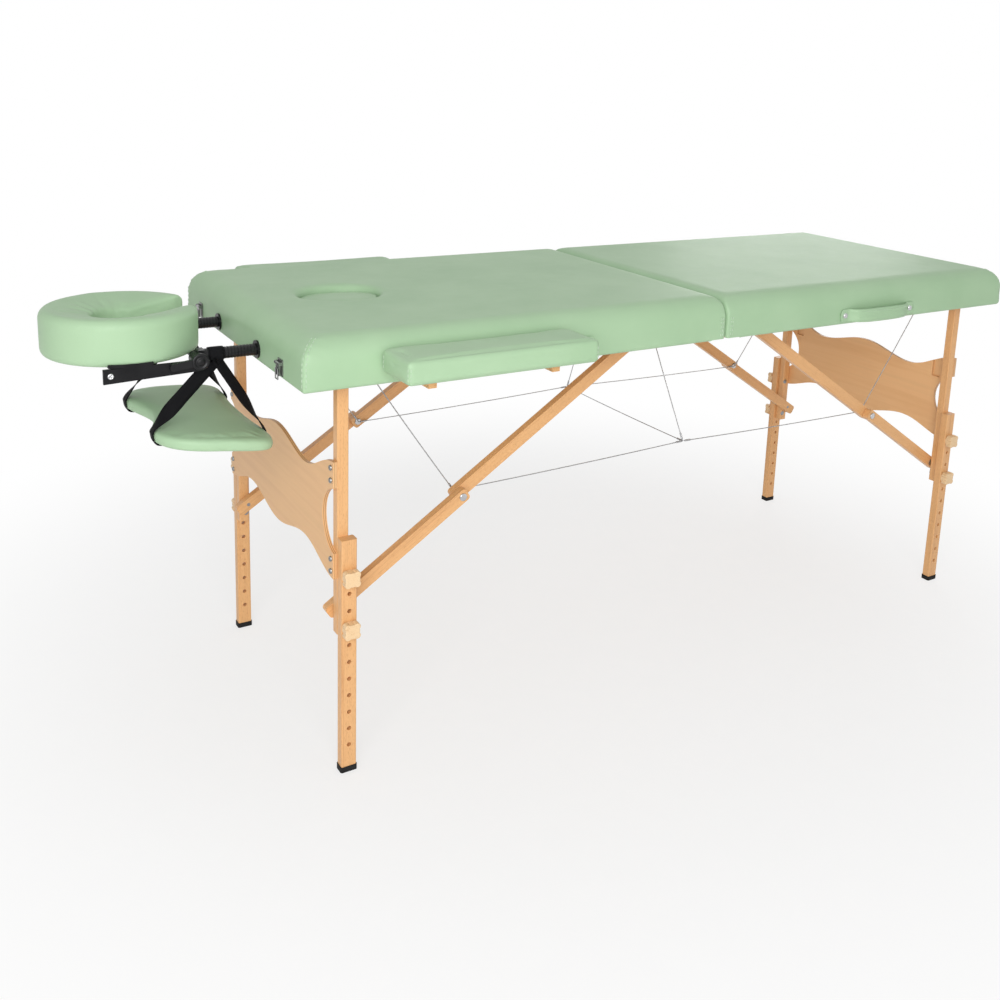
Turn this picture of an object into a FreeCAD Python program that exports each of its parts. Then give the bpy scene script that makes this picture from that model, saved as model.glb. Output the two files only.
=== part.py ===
import FreeCAD, Part
import math
import os

# Two-section folding massage table. Millimetres, +Z up, +X towards the foot end, Y across.
# Half sections are drawn with the centre hinge plane at x = 0 and the head end at -X,
# then moved so that the origin is on the floor under the middle of the whole table.

# Deck
half_length = 942.0
width = 711.0
deck_z = 767.0
rail_height = 46.0
board_thickness = 4.0
foam_thickness = 43.5
cover_thickness = 1.5
corner_radius = 26.0
top_rounding = 46.0
hinge_rounding = 16.0
section_gap = 3.0
side_rail = 12.0
end_rail = 14.0
centre_rail = 18.0
corner_block = 52.0

# Fits, and how far cutting tools run past the faces they cut
fit = 0.2
running_fit = 0.06
sliding_gap = 0.3
overcut = 1.0
snap = 0.01

# Legs
leg_inset = 98.0
leg_width = 30.0
leg_thickness = 21.0
leg_side_gap = 32.5
leg_edge = 2.5
leg_pivot_rise = 26.0
pivot_radius = 4.0
hole_count = 11
hole_pitch = 34.2
hole_radius = 4.25
lowest_hole = 56.0
leg_head_margin = 71.0
knob_pitch_count = 3
upper_leg_tail = 20.0
upper_leg_inside = 7.0
cap_base = 5.0
cap_wall = 1.5
cap_height = 11.0
pivot_block = 44.0

# Star knobs and their bolts
knob_radius = 19.0
knob_height = 18.0
lobe_radius = 6.5
knob_hub = 14.0
bolt_radius = 3.95
bolt_head_radius = 6.5
bolt_head = 3.0
bolt_reach = 14.0
lobe_start = 4.0
knob_edge = 1.5

# End panels
panel_thickness = 8.0
panel_mid_drop = 292.0
panel_tab_top = 113.0
panel_tab_bottom = 113.0
panel_crest = 96.0
panel_valley = 68.0
panel_belly = 108.0
panel_arch = 80.0
panel_trough = 0.52
relief_depth = 6.0
relief_height = 62.0
relief_side = 3.0
notch_half = 63.0
notch_depth = 52.0
screw_radius = 2.0
screw_head = 5.0
screw_head_height = 1.5
screw_depth = 12.0
screw_spacing = 24.0

# Braces
strut_depth = 26.0
strut_thickness = 17.0
strut_tail = 14.0
strut_corner = 7.0
strut_washer = 3.5
strut_gap = 1.5
brace_rise = 26.0
deck_pivot_inset = 118.0
rivet_head_radius = 7.0
rivet_head = 3.0
washer_radius = 9.0
cleat = 36.0

# Centre hinges
hinge_y = 230.0
hinge_width = 66.0
hinge_leaf = 38.0
leaf_thickness = 2.0
hinge_drop = 3.6
knuckle_radius = 3.5
hinge_pin_radius = 2.0
hinge_setback = 1.0

# Face opening and its plug
face_setback = 209.0
face_a = 82.0
face_b = 70.0
face_ledge = 10.0
plug_height = 36.0
plug_gap = 1.0
plug_rounding = 8.0

# Face cradle
post_y = 120.0
post_rise = 21.0
post_radius = 11.0
post_groove = 0.8
rib_pitch = 6.0
rib_crest = 0.6
rib_slope = 0.1
post_inside = 127.0
post_outside = 111.0
bush_radius = 15.0
bush_wall_out = 4.0
bush_flange = 17.0
bush_depth = 22.0
tilt_reach = 111.0
tilt_drop = 6.0
tilt_rod = 5.0
cradle_block = 24.0
cradle_block_width = 22.0
arm_thickness = 6.0
arm_reach = 163.0
arm_depth = 20.0
arm_end_depth = 26.0
plate_thickness = 6.0
plate_inset = 36.0
plate_rise = 1.0
bracket_setback = 10.0
bracket_inset = 1.0
ring_reach = 215.0
ring_outer = 140.0
ring_inner = 50.0
ring_height = 80.0
ring_opening = 22.0
ring_rounding = 26.0
ring_bottom_rounding = 8.0
bowl_drop = 26.0
lever_disc = 15.0
lever_disc_height = 8.0
lever_length = 46.0
lever_width = 14.0
lever_corner = 6.0
lever_drop = 6.0
lever_recess = 2.0
lever_bore = 3.0

# Arm shelf
shelf_drop = 138.0
shelf_thickness = 28.0
shelf_rounding = 9.0
shelf_half_y = 195.0
shelf_front = 192.0
shelf_tuck = 2.0
shelf_outline = ((0.13, 0), (0.06, 0.3), (0, 0.6), (0.1, 0.83), (0.36, 0.97), (0.68, 1), (0.92, 0.93),
                 (1, 0.7), (1, 0.35), (1, 0))
strap_width = 32.0
strap_thickness = 2.0
strap_apex = 78.0
strap_flare = 5.5
strap_front = 172.0
strap_back = 40.0

# Side armrests
armrest_setback = 137.0
armrest_length = 392.0
armrest_depth = 110.0
armrest_thickness = 46.0
armrest_rise = 22.0
armrest_gap = 8.5
armrest_rounding = 7.0
bar_width = 16.0
bar_height = 16.0
bar_reach = 74.0
spigot_radius = 5.0
spigot_head_inset = 64.0
spigot_foot_inset = 75.0
socket_width = 26.0
socket_clear = 1.5

# Carry handles
handle_span = 250.0
handle_width = 22.0
head_handle_rise = 18.0
foot_handle_rise = 10.0
handle_thickness = 3.0
handle_pad = 34.0
foot_handle_bulge = 24.0
head_handle_bulge = 3.0
handle_screw = 5.0
handle_screw_height = 1.5

# Draw latches and strikes
latch_y = 248.0
latch_width = 24.0
latch_plate = 2.0
latch_plate_height = 30.0
latch_rise = 4.0
latch_pivot_rise = 27.0
latch_pivot_out = 6.0
latch_barrel = 3.0
lever_plate_width = 16.0
lever_plate_height = 22.0
lever_plate = 2.0
bail_radius = 1.2
bail_tail = 6.0
bail_top = 9.0
bail_inset = 2.0
ear_thickness = 2.0
strike_width = 20.0
strike_height = 18.0
strike_lip = 6.0
hook_thickness = 2.0
hook_rise = 4.0

# Bracing cables
cable_radius = 1.25
cable_anchor = 34.0
cable_sag = 12.0
cable_drop_y = 90.0
cable_clear = 6.0
ferrule_radius = 3.0

# Derived levels
half_width = width / 2
leg_outer_y = half_width - leg_side_gap
face_x = half_length - face_setback
armrest_from = half_length - armrest_setback
armrest_to = armrest_from - armrest_length
spigot_outer_x = armrest_from - spigot_head_inset
spigot_inner_x = armrest_to + spigot_foot_inset
rail_top = deck_z + rail_height
board_top = rail_top + board_thickness
deck_top = board_top + foam_thickness + cover_thickness
core_inset = cover_thickness + fit
rail_outer = half_width - core_inset
rail_inner = rail_outer - side_rail
leg_x = -(half_length - leg_inset)
leg_z = deck_z + leg_pivot_rise
leg_back = leg_x - leg_width / 2
upper_outer = leg_outer_y - leg_thickness - fit
upper_inner = upper_outer - leg_thickness
top_hole = lowest_hole + (hole_count - 1) * hole_pitch
lower_leg_top = top_hole + leg_head_margin
knob_levels = (top_hole, top_hole - knob_pitch_count * hole_pitch)
upper_leg_bottom = knob_levels[1] - upper_leg_tail
strut_outer = upper_inner - strut_washer
strut_inner = strut_outer - strut_thickness
upper_strut_outer = strut_inner - strut_gap
upper_strut_inner = upper_strut_outer - strut_thickness
cable_y = upper_strut_inner - rivet_head - cable_radius - running_fit

# Brace pivots: on the leg, on the deck and between the two struts.
# The strut lengths make the brace straight when open and flat when folded.
brace_leg = (leg_x, knob_levels[1] + brace_rise)
brace_deck = (-deck_pivot_inset, leg_z)
brace_run = math.hypot(brace_deck[0] - brace_leg[0], brace_deck[1] - brace_leg[1])
leg_to_brace = leg_z - brace_leg[1]
fold_span = brace_deck[0] - leg_x - leg_to_brace
lower_strut_length = (brace_run - fold_span) / 2
brace_angle = math.atan2(brace_deck[1] - brace_leg[1], brace_deck[0] - brace_leg[0])
brace_mid = (brace_leg[0] + lower_strut_length * math.cos(brace_angle),
             brace_leg[1] + lower_strut_length * math.sin(brace_angle))

# Cradle places, measured out from the head end
head_end = -half_length
post_z = deck_z + post_rise
tilt_x = head_end - tilt_reach
tilt_z = post_z - tilt_drop
post_end = head_end - post_outside
block_outer = post_y + cradle_block_width / 2
block_inner = post_y - cradle_block_width / 2
plate_z = tilt_z + plate_rise
ring_x = head_end - ring_reach
ring_bottom = plate_z + plate_thickness
strike_out = latch_plate + strike_lip
cradle_tip = ring_reach + ring_outer
hinge_x = (cradle_tip - strike_out) / 2
shelf_top = post_z - shelf_drop
hinge_z = deck_z - hinge_drop
armrest_bottom = deck_z + armrest_rise
armrest_inner = half_width + armrest_gap
spigot_z = armrest_bottom - bar_height + spigot_radius
socket_inner = leg_outer_y + socket_clear
handle_x = -half_length / 2


def vec(x, y, z):
    return FreeCAD.Vector(x, y, z)


def block(x0, x1, y0, y1, z0, z1):
    low = vec(min(x0, x1), min(y0, y1), min(z0, z1))
    return Part.makeBox(abs(x1 - x0), abs(y1 - y0), abs(z1 - z0), low)


def rod(start, end, radius):
    """Round bar between two points."""
    a = vec(*start)
    axis = vec(*end) - a
    return Part.makeCylinder(radius, axis.Length, a, axis)


def far(shape):
    """The same piece on the far side."""
    return shape.mirror(vec(0, 0, 0), vec(0, 1, 0))


def pair(shape):
    return [shape, far(shape)]


def edges_where(shape, test):
    return [e for e in shape.Edges if test(e.BoundBox)]


def prism_xz(points, y0, y1):
    """Straight-sided outline in X and Z, given a thickness in Y."""
    corners = [vec(x, y0, z) for x, z in points]
    wire = Part.makePolygon(corners + corners[:1])
    return Part.Face(wire).extrude(vec(0, y1 - y0, 0))


def bar_xz(start, end, depth, y0, y1, corner):
    """Flat bar between two points in the XZ plane, ending half its depth beyond each."""
    dx = end[0] - start[0]
    dz = end[1] - start[1]
    run = math.hypot(dx, dz)
    bar = block(-depth / 2, run + depth / 2, y0, y1, -depth / 2, depth / 2)
    bar = bar.makeFillet(corner, edges_where(bar, lambda b: b.YLength > snap))
    bar.rotate(vec(0, 0, 0), vec(0, 1, 0), -math.degrees(math.atan2(dz, dx)))
    bar.translate(vec(start[0], 0, start[1]))
    return bar


def oval(a, b, z0, z1):
    """Upright oval prism at the face opening, its long axis along X."""
    edge = Part.Ellipse(vec(-face_x, 0, z0), a, b).toShape()
    return Part.Face(Part.Wire(edge)).extrude(vec(0, 0, z1 - z0))


def save(name, solids, foot=False):
    """Moves the solids of one node to the table's frame and writes them."""
    placed = []
    for solid in solids:
        piece = solid.mirror(vec(0, 0, 0), vec(1, 0, 0)) if foot else solid.copy()
        piece.translate(vec(hinge_x, 0, 0))
        placed.extend(piece.Solids)
    shape = placed[0] if len(placed) == 1 else Part.makeCompound(placed)
    shape.exportStep(f"parts/{name}.step")


# Upholstered deck

def envelope(inset):
    """Outer form of one section, drawn in on every side but the underside."""
    x0 = head_end + inset
    x1 = -section_gap / 2 - inset
    y1 = half_width - inset
    z1 = deck_top - inset
    form = block(x0, x1, -y1, y1, deck_z, z1)
    upright = edges_where(form, lambda b: b.XMax < x0 + snap and b.ZLength > snap)
    form = form.makeFillet(corner_radius - inset, upright)
    top = edges_where(form, lambda b: b.ZMin > z1 - snap and b.XMin < x1 - snap)
    form = form.makeFillet(top_rounding - inset, top)
    end = edges_where(form, lambda b: b.XMin > x1 - snap and b.ZMax > deck_z + snap)
    return form.makeFillet(hinge_rounding - inset, end)


core = envelope(core_inset)


def in_core(shape):
    return core.common(shape)


def level(z0, z1):
    return block(head_end, 0, -half_width, half_width, z0, z1)


def post_bores():
    """Holes for the cradle sleeves in the head rail."""
    x0 = head_end - overcut
    x1 = head_end + bush_depth
    return [rod((x0, y, post_z), (x1, y, post_z), bush_radius + running_fit) for y in (-post_y, post_y)]


def spigot_bores():
    """Holes for the armrest spigots in both side rails."""
    bores = []
    for x in (-spigot_outer_x, -spigot_inner_x):
        mouth = (x, -half_width - overcut, spigot_z)
        bores += pair(rod(mouth, (x, -socket_inner, spigot_z), spigot_radius + running_fit))
    return bores


def cover(head):
    """Vinyl skin, open below, with a lining round the face opening on the head section."""
    skin = envelope(0).cut(envelope(cover_thickness))
    if head:
        a = face_a + cover_thickness
        b = face_b + cover_thickness
        skin = skin.cut(oval(a, b, board_top, deck_top + overcut))
        lining = oval(a, b, board_top, deck_top)
        lining = lining.cut(oval(face_a, face_b, board_top - overcut, deck_top + overcut))
        skin = skin.fuse(lining).removeSplitter()
        skin = skin.cut(post_bores() + spigot_bores())
    return [skin]


def foam(head):
    pad = in_core(level(board_top, deck_top))
    if head:
        pad = pad.cut(oval(face_a + core_inset, face_b + core_inset, deck_z, deck_top))
    return [pad]


def deck_board(head):
    board = in_core(level(rail_top, board_top))
    if head:
        board = board.cut(oval(face_a - face_ledge, face_b - face_ledge, deck_z, deck_top))
    return [board]


def frame(head):
    """Rails, corner blocks, leg pivot blocks, brace cleats and the armrest sockets."""
    x_end = head_end + core_inset
    x_mid = -section_gap / 2 - core_inset
    corner_x = x_end + corner_block
    corner_y = rail_outer - corner_block
    side = in_core(block(corner_x, x_mid, -rail_outer, -rail_inner, deck_z, rail_top))
    corner = in_core(block(x_end, corner_x, -rail_outer, -corner_y, deck_z, rail_top))
    end = block(x_end, x_end + end_rail, -corner_y, corner_y, deck_z, rail_top)
    middle = block(x_mid - centre_rail, x_mid, -rail_inner, rail_inner, deck_z, rail_top)
    lift = leg_z - leg_width / 2 - deck_z
    bearing = block(leg_x - pivot_block / 2, leg_x + pivot_block / 2, -rail_inner, -upper_outer - fit,
                    deck_z + lift / 2, rail_top)
    bearing = bearing.cut(rod((leg_x, -half_width, leg_z), (leg_x, 0, leg_z), pivot_radius + running_fit))
    hung = block(brace_deck[0] - cleat / 2, brace_deck[0] + cleat / 2, -strut_outer, -strut_inner - fit,
                 deck_z + lift / 2, rail_top)
    hung = hung.cut(rod((brace_deck[0], -half_width, leg_z), (brace_deck[0], 0, leg_z),
                        pivot_radius + running_fit))
    solids = [end, middle]
    if head:
        side = side.cut(spigot_bores())
        solids[0] = end.cut(post_bores())
        for x in (-spigot_outer_x, -spigot_inner_x):
            socket = block(x - socket_width / 2, x + socket_width / 2, -rail_inner, -socket_inner,
                           deck_z, spigot_z + spigot_radius + bar_height)
            solids += pair(socket.cut(spigot_bores()))
    for piece in (side, corner, bearing, hung):
        solids += pair(piece)
    return solids


def face_plug():
    plug = oval(face_a - plug_gap, face_b - plug_gap, board_top, board_top + plug_height)
    rim = edges_where(plug, lambda b: b.ZMin > board_top + plug_height - snap)
    return [plug.makeFillet(plug_rounding, rim)]


# Legs

def leg_bar(y_outer, z0, z1, inside):
    """One near-side leg timber with eased long edges, and its reach past the bolt line."""
    bar = block(leg_back, leg_x + inside, -y_outer, -y_outer + leg_thickness, z0, z1)
    return bar.makeFillet(leg_edge, edges_where(bar, lambda b: b.ZLength > snap))


def cross_hole(x, z, radius):
    return rod((x, -half_width, z), (x, 0, z), radius)


def tab_screws():
    """Places of the panel screws on one leg: two on each tab."""
    y = -(upper_outer + upper_inner) / 2
    mid = leg_z - panel_mid_drop
    tops = (mid + panel_tab_top, mid - notch_half)
    drop = (panel_tab_top - notch_half) / 2
    return [(y, top - drop + s * screw_spacing / 2) for top in tops for s in (-1, 1)]


def screw_holes():
    x0 = leg_back - panel_thickness - overcut
    x1 = leg_back + screw_depth
    return [rod((x0, y, z), (x1, y, z), screw_radius + running_fit) for y, z in tab_screws()]


def upper_leg():
    bar = leg_bar(upper_outer, upper_leg_bottom, leg_z, upper_leg_inside)
    crown = rod((leg_x, -upper_outer, leg_z), (leg_x, -upper_inner, leg_z), leg_width / 2)
    bar = bar.fuse(crown).removeSplitter()
    holes = [cross_hole(leg_x, leg_z, pivot_radius + running_fit),
             cross_hole(leg_x, brace_leg[1], pivot_radius + running_fit)]
    for z in knob_levels:
        holes.append(cross_hole(leg_x, z, bolt_radius + running_fit))
        holes.append(rod((leg_x, -upper_inner - bolt_head - fit, z), (leg_x, 0, z), bolt_head_radius + fit))
    return bar.cut(holes + screw_holes())


def lower_leg():
    bar = leg_bar(leg_outer_y, cap_base, lower_leg_top, leg_width / 2)
    holes = [cross_hole(leg_x, lowest_hole + i * hole_pitch, hole_radius) for i in range(hole_count)]
    return bar.cut(holes)


def foot_cap():
    """Rubber cup pushed over the end of a lower leg."""
    half = leg_width / 2 + cap_wall
    y0 = -leg_outer_y - cap_wall
    cup = block(leg_x - half, leg_x + half, y0, y0 + leg_thickness + 2 * cap_wall, 0, cap_height)
    cup = cup.makeFillet(leg_edge + cap_wall, edges_where(cup, lambda b: b.ZLength > snap))
    return cup.cut(leg_bar(leg_outer_y, cap_base, lower_leg_top, leg_width / 2))


def star_knob(z):
    """Four-lobed wooden knob on the outer face of a lower leg."""
    y0 = -leg_outer_y - sliding_gap
    y1 = y0 - knob_height
    lobe_at = knob_radius - lobe_radius
    knob = rod((0, y0, 0), (0, y1, 0), knob_hub)
    lobes = []
    for i in range(4):
        a = math.radians(45 + 90 * i)
        x = lobe_at * math.cos(a)
        h = lobe_at * math.sin(a)
        lobes.append(rod((x, y0 - lobe_start, h), (x, y1, h), lobe_radius))
    knob = knob.fuse(lobes).removeSplitter()
    rim = edges_where(knob, lambda b: b.YMax < y1 + snap)
    knob = knob.makeFillet(knob_edge, rim)
    knob = knob.cut(rod((0, y0, 0), (0, y0 - bolt_reach, 0), bolt_radius + running_fit))
    knob.translate(vec(leg_x, 0, z))
    return knob


def end_panel():
    """Wave-edged plywood panel screwed to the outer faces of the upper legs.

    Two shallow grooves on its inner face let the folding struts pass.
    """
    half = upper_outer
    mid = leg_z - panel_mid_drop
    x = leg_back

    def wave(centre, trough, tab):
        """Smooth edge from one tab over both troughs to the other tab."""
        points = []
        steps = 4
        for i in range(-2 * steps, 2 * steps + 1):
            share = abs(i) / steps
            start, goal = (centre, trough) if share <= 1 else (trough, tab)
            ease = (1 - math.cos(math.pi * (share if share <= 1 else share - 1))) / 2
            reach = panel_trough * share if share <= 1 else panel_trough + (1 - panel_trough) * (share - 1)
            points.append(vec(x, math.copysign(half * reach, i), mid + start + (goal - start) * ease))
        line = Part.BSplineCurve()
        line.interpolate(points)
        return line.toShape()

    top = wave(panel_crest, panel_valley, panel_tab_top)
    low = wave(-panel_belly, -panel_arch, -panel_tab_bottom)
    sides = []
    for s in (-1, 1):
        a = vec(x, s * half, mid + panel_tab_top)
        b = vec(x, s * half, mid + notch_half)
        c = vec(x, s * (half - notch_depth), mid)
        d = vec(x, s * half, mid - notch_half)
        e = vec(x, s * half, mid - panel_tab_bottom)
        sides += [Part.makeLine(a, b), Part.Arc(b, c, d).toShape(), Part.makeLine(d, e)]
    wire = Part.Wire(Part.__sortEdges__([top, low] + sides))
    panel = Part.Face(wire).extrude(vec(-panel_thickness, 0, 0))
    tools = screw_holes()
    tools.append(block(leg_back - relief_depth, leg_back + overcut,
                       -upper_strut_outer - relief_side, -upper_strut_inner + rivet_head + relief_side,
                       mid + panel_tab_top - relief_height, mid + panel_tab_top + overcut))
    return [panel.cut(tools + [far(t) for t in tools])]


def leg_fasteners():
    """Leg pivot bolts, brace pivot pins, knob bolts and panel screws of one leg pair."""
    pivot = rod((leg_x, -upper_inner, leg_z), (leg_x, -rail_inner, leg_z), pivot_radius)
    z = brace_leg[1]
    pin = rod((leg_x, -upper_outer, z), (leg_x, -strut_inner, z), pivot_radius)
    washer_end = -strut_outer - running_fit
    washer = rod((leg_x, -upper_inner + running_fit, z), (leg_x, washer_end, z), washer_radius)
    solids = pair(pivot) + pair(pin.fuse(washer).removeSplitter())
    for z in knob_levels:
        shank = rod((leg_x, -upper_inner, z), (leg_x, -leg_outer_y - bolt_reach, z), bolt_radius)
        head = rod((leg_x, -upper_inner, z), (leg_x, -upper_inner - bolt_head, z), bolt_head_radius)
        solids += pair(shank.fuse(head).removeSplitter())
    face = leg_back - panel_thickness
    for y, z in tab_screws():
        shank = rod((face, y, z), (leg_back + screw_depth, y, z), screw_radius)
        head = rod((face, y, z), (face - screw_head_height, y, z), screw_head)
        solids += pair(shank.fuse(head).removeSplitter())
    return solids


# Braces

def lower_strut():
    """Strut from the leg to the folding joint, with its joint rivet."""
    c = math.cos(brace_angle)
    s = math.sin(brace_angle)
    tail = (brace_leg[0] - strut_tail * c, brace_leg[1] - strut_tail * s)
    bar = bar_xz(tail, brace_mid, strut_depth, -strut_outer, -strut_inner, strut_corner)
    x, z = brace_mid
    bar = bar.cut([cross_hole(leg_x, brace_leg[1], pivot_radius + running_fit),
                   cross_hole(x, z, pivot_radius + running_fit)])
    shank = rod((x, -strut_inner, z), (x, -strut_outer, z), pivot_radius)
    head = rod((x, -strut_outer, z), (x, -strut_outer - rivet_head, z), rivet_head_radius)
    return [bar, shank.fuse(head).removeSplitter()]


def upper_strut():
    """Strut from the folding joint to the deck, with its joint rivet and deck pin."""
    bar = bar_xz(brace_mid, brace_deck, strut_depth, -upper_strut_outer, -upper_strut_inner, strut_corner)
    x, z = brace_mid
    bar = bar.cut([cross_hole(x, z, pivot_radius + running_fit),
                   cross_hole(*brace_deck, pivot_radius + running_fit)])
    shank = rod((x, -upper_strut_inner, z), (x, -upper_strut_outer, z), pivot_radius)
    head = rod((x, -upper_strut_inner, z), (x, -upper_strut_inner + rivet_head, z), rivet_head_radius)
    pin = rod((brace_deck[0], -upper_strut_inner, leg_z), (brace_deck[0], -strut_outer, leg_z), pivot_radius)
    return [bar, shank.fuse(head).removeSplitter(), pin]


# Centre hinges

def hinge_set(head):
    """Leaves of the two butt hinges under the deck, and on the head side their pins."""
    third = hinge_width / 3
    x0 = -section_gap / 2 - hinge_setback
    solids = []
    for y in (-hinge_y, hinge_y):
        y0 = y - hinge_width / 2
        y1 = y + hinge_width / 2
        spans = [(y0, y0 + third), (y1 - third, y1)] if head else [(y0 + third, y1 - third)]
        leaf = block(-hinge_leaf, x0 - knuckle_radius, y0, y1, deck_z - leaf_thickness, deck_z)
        bore = rod((0, y0, hinge_z), (0, y1, hinge_z), hinge_pin_radius + running_fit)
        for a, b in spans:
            low = a + fit
            high = b - fit
            web = block(x0 - knuckle_radius - overcut, 0, low, high, deck_z - leaf_thickness, deck_z - fit)
            leaf = leaf.fuse([web, rod((0, low, hinge_z), (0, high, hinge_z), knuckle_radius)])
        solids.append(leaf.removeSplitter().cut(bore))
        if head:
            solids.append(rod((0, y0, hinge_z), (0, y1, hinge_z), hinge_pin_radius))
    return solids


# Face cradle

def cradle_bushes():
    """Flanged plastic sleeves in the head rail."""
    x0 = head_end - bush_wall_out
    x1 = head_end + bush_depth
    tube = rod((x0, -post_y, post_z), (x1, -post_y, post_z), bush_radius)
    flange = rod((x0, -post_y, post_z), (head_end, -post_y, post_z), bush_flange)
    bore = rod((x0 - overcut, -post_y, post_z), (x1 + overcut, -post_y, post_z), post_radius + running_fit)
    return pair(tube.fuse(flange).removeSplitter().cut(bore))


def cradle_post():
    """Ribbed near post with the tilt block on its outer end."""
    start = head_end + post_inside
    count = int((post_outside + post_inside) / rib_pitch)
    groove = post_radius - post_groove
    outline = [vec(start, 0, 0)]
    for i in range(count):
        x = start - i * rib_pitch
        outline += [vec(x, 0, post_radius), vec(x - rib_crest * rib_pitch, 0, post_radius)]
        outline += [vec(x - (rib_crest + rib_slope) * rib_pitch, 0, groove), vec(x - rib_pitch, 0, groove)]
    outline += [vec(post_end, 0, groove), vec(post_end, 0, 0)]
    face = Part.Face(Part.makePolygon(outline + outline[:1]))
    post = face.revolve(vec(0, 0, 0), vec(1, 0, 0), 360)
    post.translate(vec(0, -post_y, post_z))
    return post


def cradle_frame():
    """Two posts, their tilt blocks and the cross rod, one welded piece."""
    eye = rod((tilt_x, -block_outer, tilt_z), (tilt_x, -block_inner, tilt_z), cradle_block / 2)
    neck = block(tilt_x, post_end + cradle_block / 2, -block_outer, -block_inner,
                 tilt_z - cradle_block / 4, post_z + post_radius)
    side = cradle_post().fuse([eye, neck])
    reach = block_outer + arm_thickness + 2 * sliding_gap + lever_bore - fit
    cross = rod((tilt_x, -reach, tilt_z), (tilt_x, reach, tilt_z), tilt_rod)
    return [side.fuse([far(side), cross]).removeSplitter()]


def ring_section(inset, z0, z1):
    """Horseshoe slab round the ring centre, open towards the table."""
    inner = ring_inner + inset
    outer = ring_outer - inset
    profile = [vec(inner, 0, z0), vec(outer, 0, z0), vec(outer, 0, z1), vec(inner, 0, z1)]
    face = Part.Face(Part.makePolygon(profile + profile[:1]))
    ring = face.revolve(vec(0, 0, 0), vec(0, 0, 1), 360 - 2 * ring_opening)
    ring.rotate(vec(0, 0, 0), vec(0, 0, 1), ring_opening)
    ring.translate(vec(ring_x, 0, 0))
    return ring


def cradle_platform():
    """Horseshoe plate with the two side arms that turn on the cross rod."""
    plate = ring_section(plate_inset, plate_z, plate_z + plate_thickness)
    y0 = block_outer + sliding_gap
    y1 = y0 + arm_thickness
    tip = tilt_x - arm_reach
    outline = [(tilt_x, plate_z), (tip, plate_z), (tip, plate_z - arm_end_depth),
               (tilt_x, plate_z - arm_depth)]
    arm = prism_xz(outline, -y1, -y0)
    eye = rod((tilt_x, -y1, tilt_z), (tilt_x, -y0, tilt_z), cradle_block / 2)
    bore = rod((tilt_x, -y1 - overcut, tilt_z), (tilt_x, -y0 + overcut, tilt_z), tilt_rod + running_fit)
    arm = arm.fuse(eye).cut(bore)
    bracket = block(tip + bracket_setback, ring_x + ring_inner / 2, -y1, -ring_inner - plate_inset,
                    plate_z, ring_bottom)
    disc = rod((ring_x, 0, plate_z), (ring_x, 0, ring_bottom), ring_outer - bracket_inset)
    side = arm.fuse(bracket.common(disc))
    return [plate.fuse([side, far(side)]).removeSplitter()]


def cradle_cushion():
    """Horseshoe face pad, its inner side dished like a bowl."""
    low = ring_bottom
    high = ring_bottom + ring_height
    r = ring_rounding
    b = ring_bottom_rounding
    q = math.sqrt(0.5)
    mid = (ring_inner + ring_outer) / 2
    points = {
        "a": (ring_inner, low), "b": (ring_outer - b, low), "c": (ring_outer, low + b),
        "d": (ring_outer, high - r), "e": (ring_outer - r, high), "f": (mid, high),
        "g": (ring_inner, high - bowl_drop),
    }
    p = {k: vec(x, 0, z) for k, (x, z) in points.items()}
    lower = vec(ring_outer - b + b * q, 0, low + b - b * q)
    upper = vec(ring_outer - r + r * q, 0, high - r + r * q)
    edges = [Part.Arc(p["b"], lower, p["c"]).toShape(), Part.Arc(p["d"], upper, p["e"]).toShape()]
    edges += [Part.makeLine(p[i], p[j]) for i, j in ("ab", "cd", "ef", "fg", "ga")]
    wire = Part.Wire(Part.__sortEdges__(edges))
    ring = Part.Face(wire).revolve(vec(0, 0, 0), vec(0, 0, 1), 360 - 2 * ring_opening)
    ring.rotate(vec(0, 0, 0), vec(0, 0, 1), ring_opening)
    ring.translate(vec(ring_x, 0, 0))
    return [ring]


def tilt_lever():
    """Clamping lever on the near end of the cross rod."""
    y0 = -(block_outer + arm_thickness + 2 * sliding_gap)
    y1 = y0 - lever_disc_height
    disc = rod((tilt_x, y0, tilt_z), (tilt_x, y1, tilt_z), lever_disc)
    tip = (tilt_x - lever_length, tilt_z - lever_drop)
    grip = bar_xz((tilt_x, tilt_z), tip, lever_width, y1, y0 - lever_recess, lever_corner)
    bore = rod((tilt_x, y0, tilt_z), (tilt_x, y0 - lever_bore, tilt_z), tilt_rod + running_fit)
    return [disc.fuse(grip).removeSplitter().cut(bore)]


# Arm shelf

def arm_shelf():
    """Kidney-shaped padded board; its hollow side faces away from the table."""
    front = head_end - shelf_front
    back = head_end + shelf_tuck
    depth = back - front
    z = shelf_top - shelf_thickness
    points = [vec(front + x * depth, y * shelf_half_y, z) for x, y in shelf_outline]
    points += [vec(p.x, -p.y, p.z) for p in reversed(points[1:-1])]
    edge = Part.BSplineCurve()
    edge.interpolate(Points=points, PeriodicFlag=True)
    board = Part.Face(Part.Wire(edge.toShape())).extrude(vec(0, 0, shelf_thickness))
    rims = edges_where(board, lambda b: b.ZLength < snap)
    return [board.makeFillet(shelf_rounding, rims)]


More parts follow.
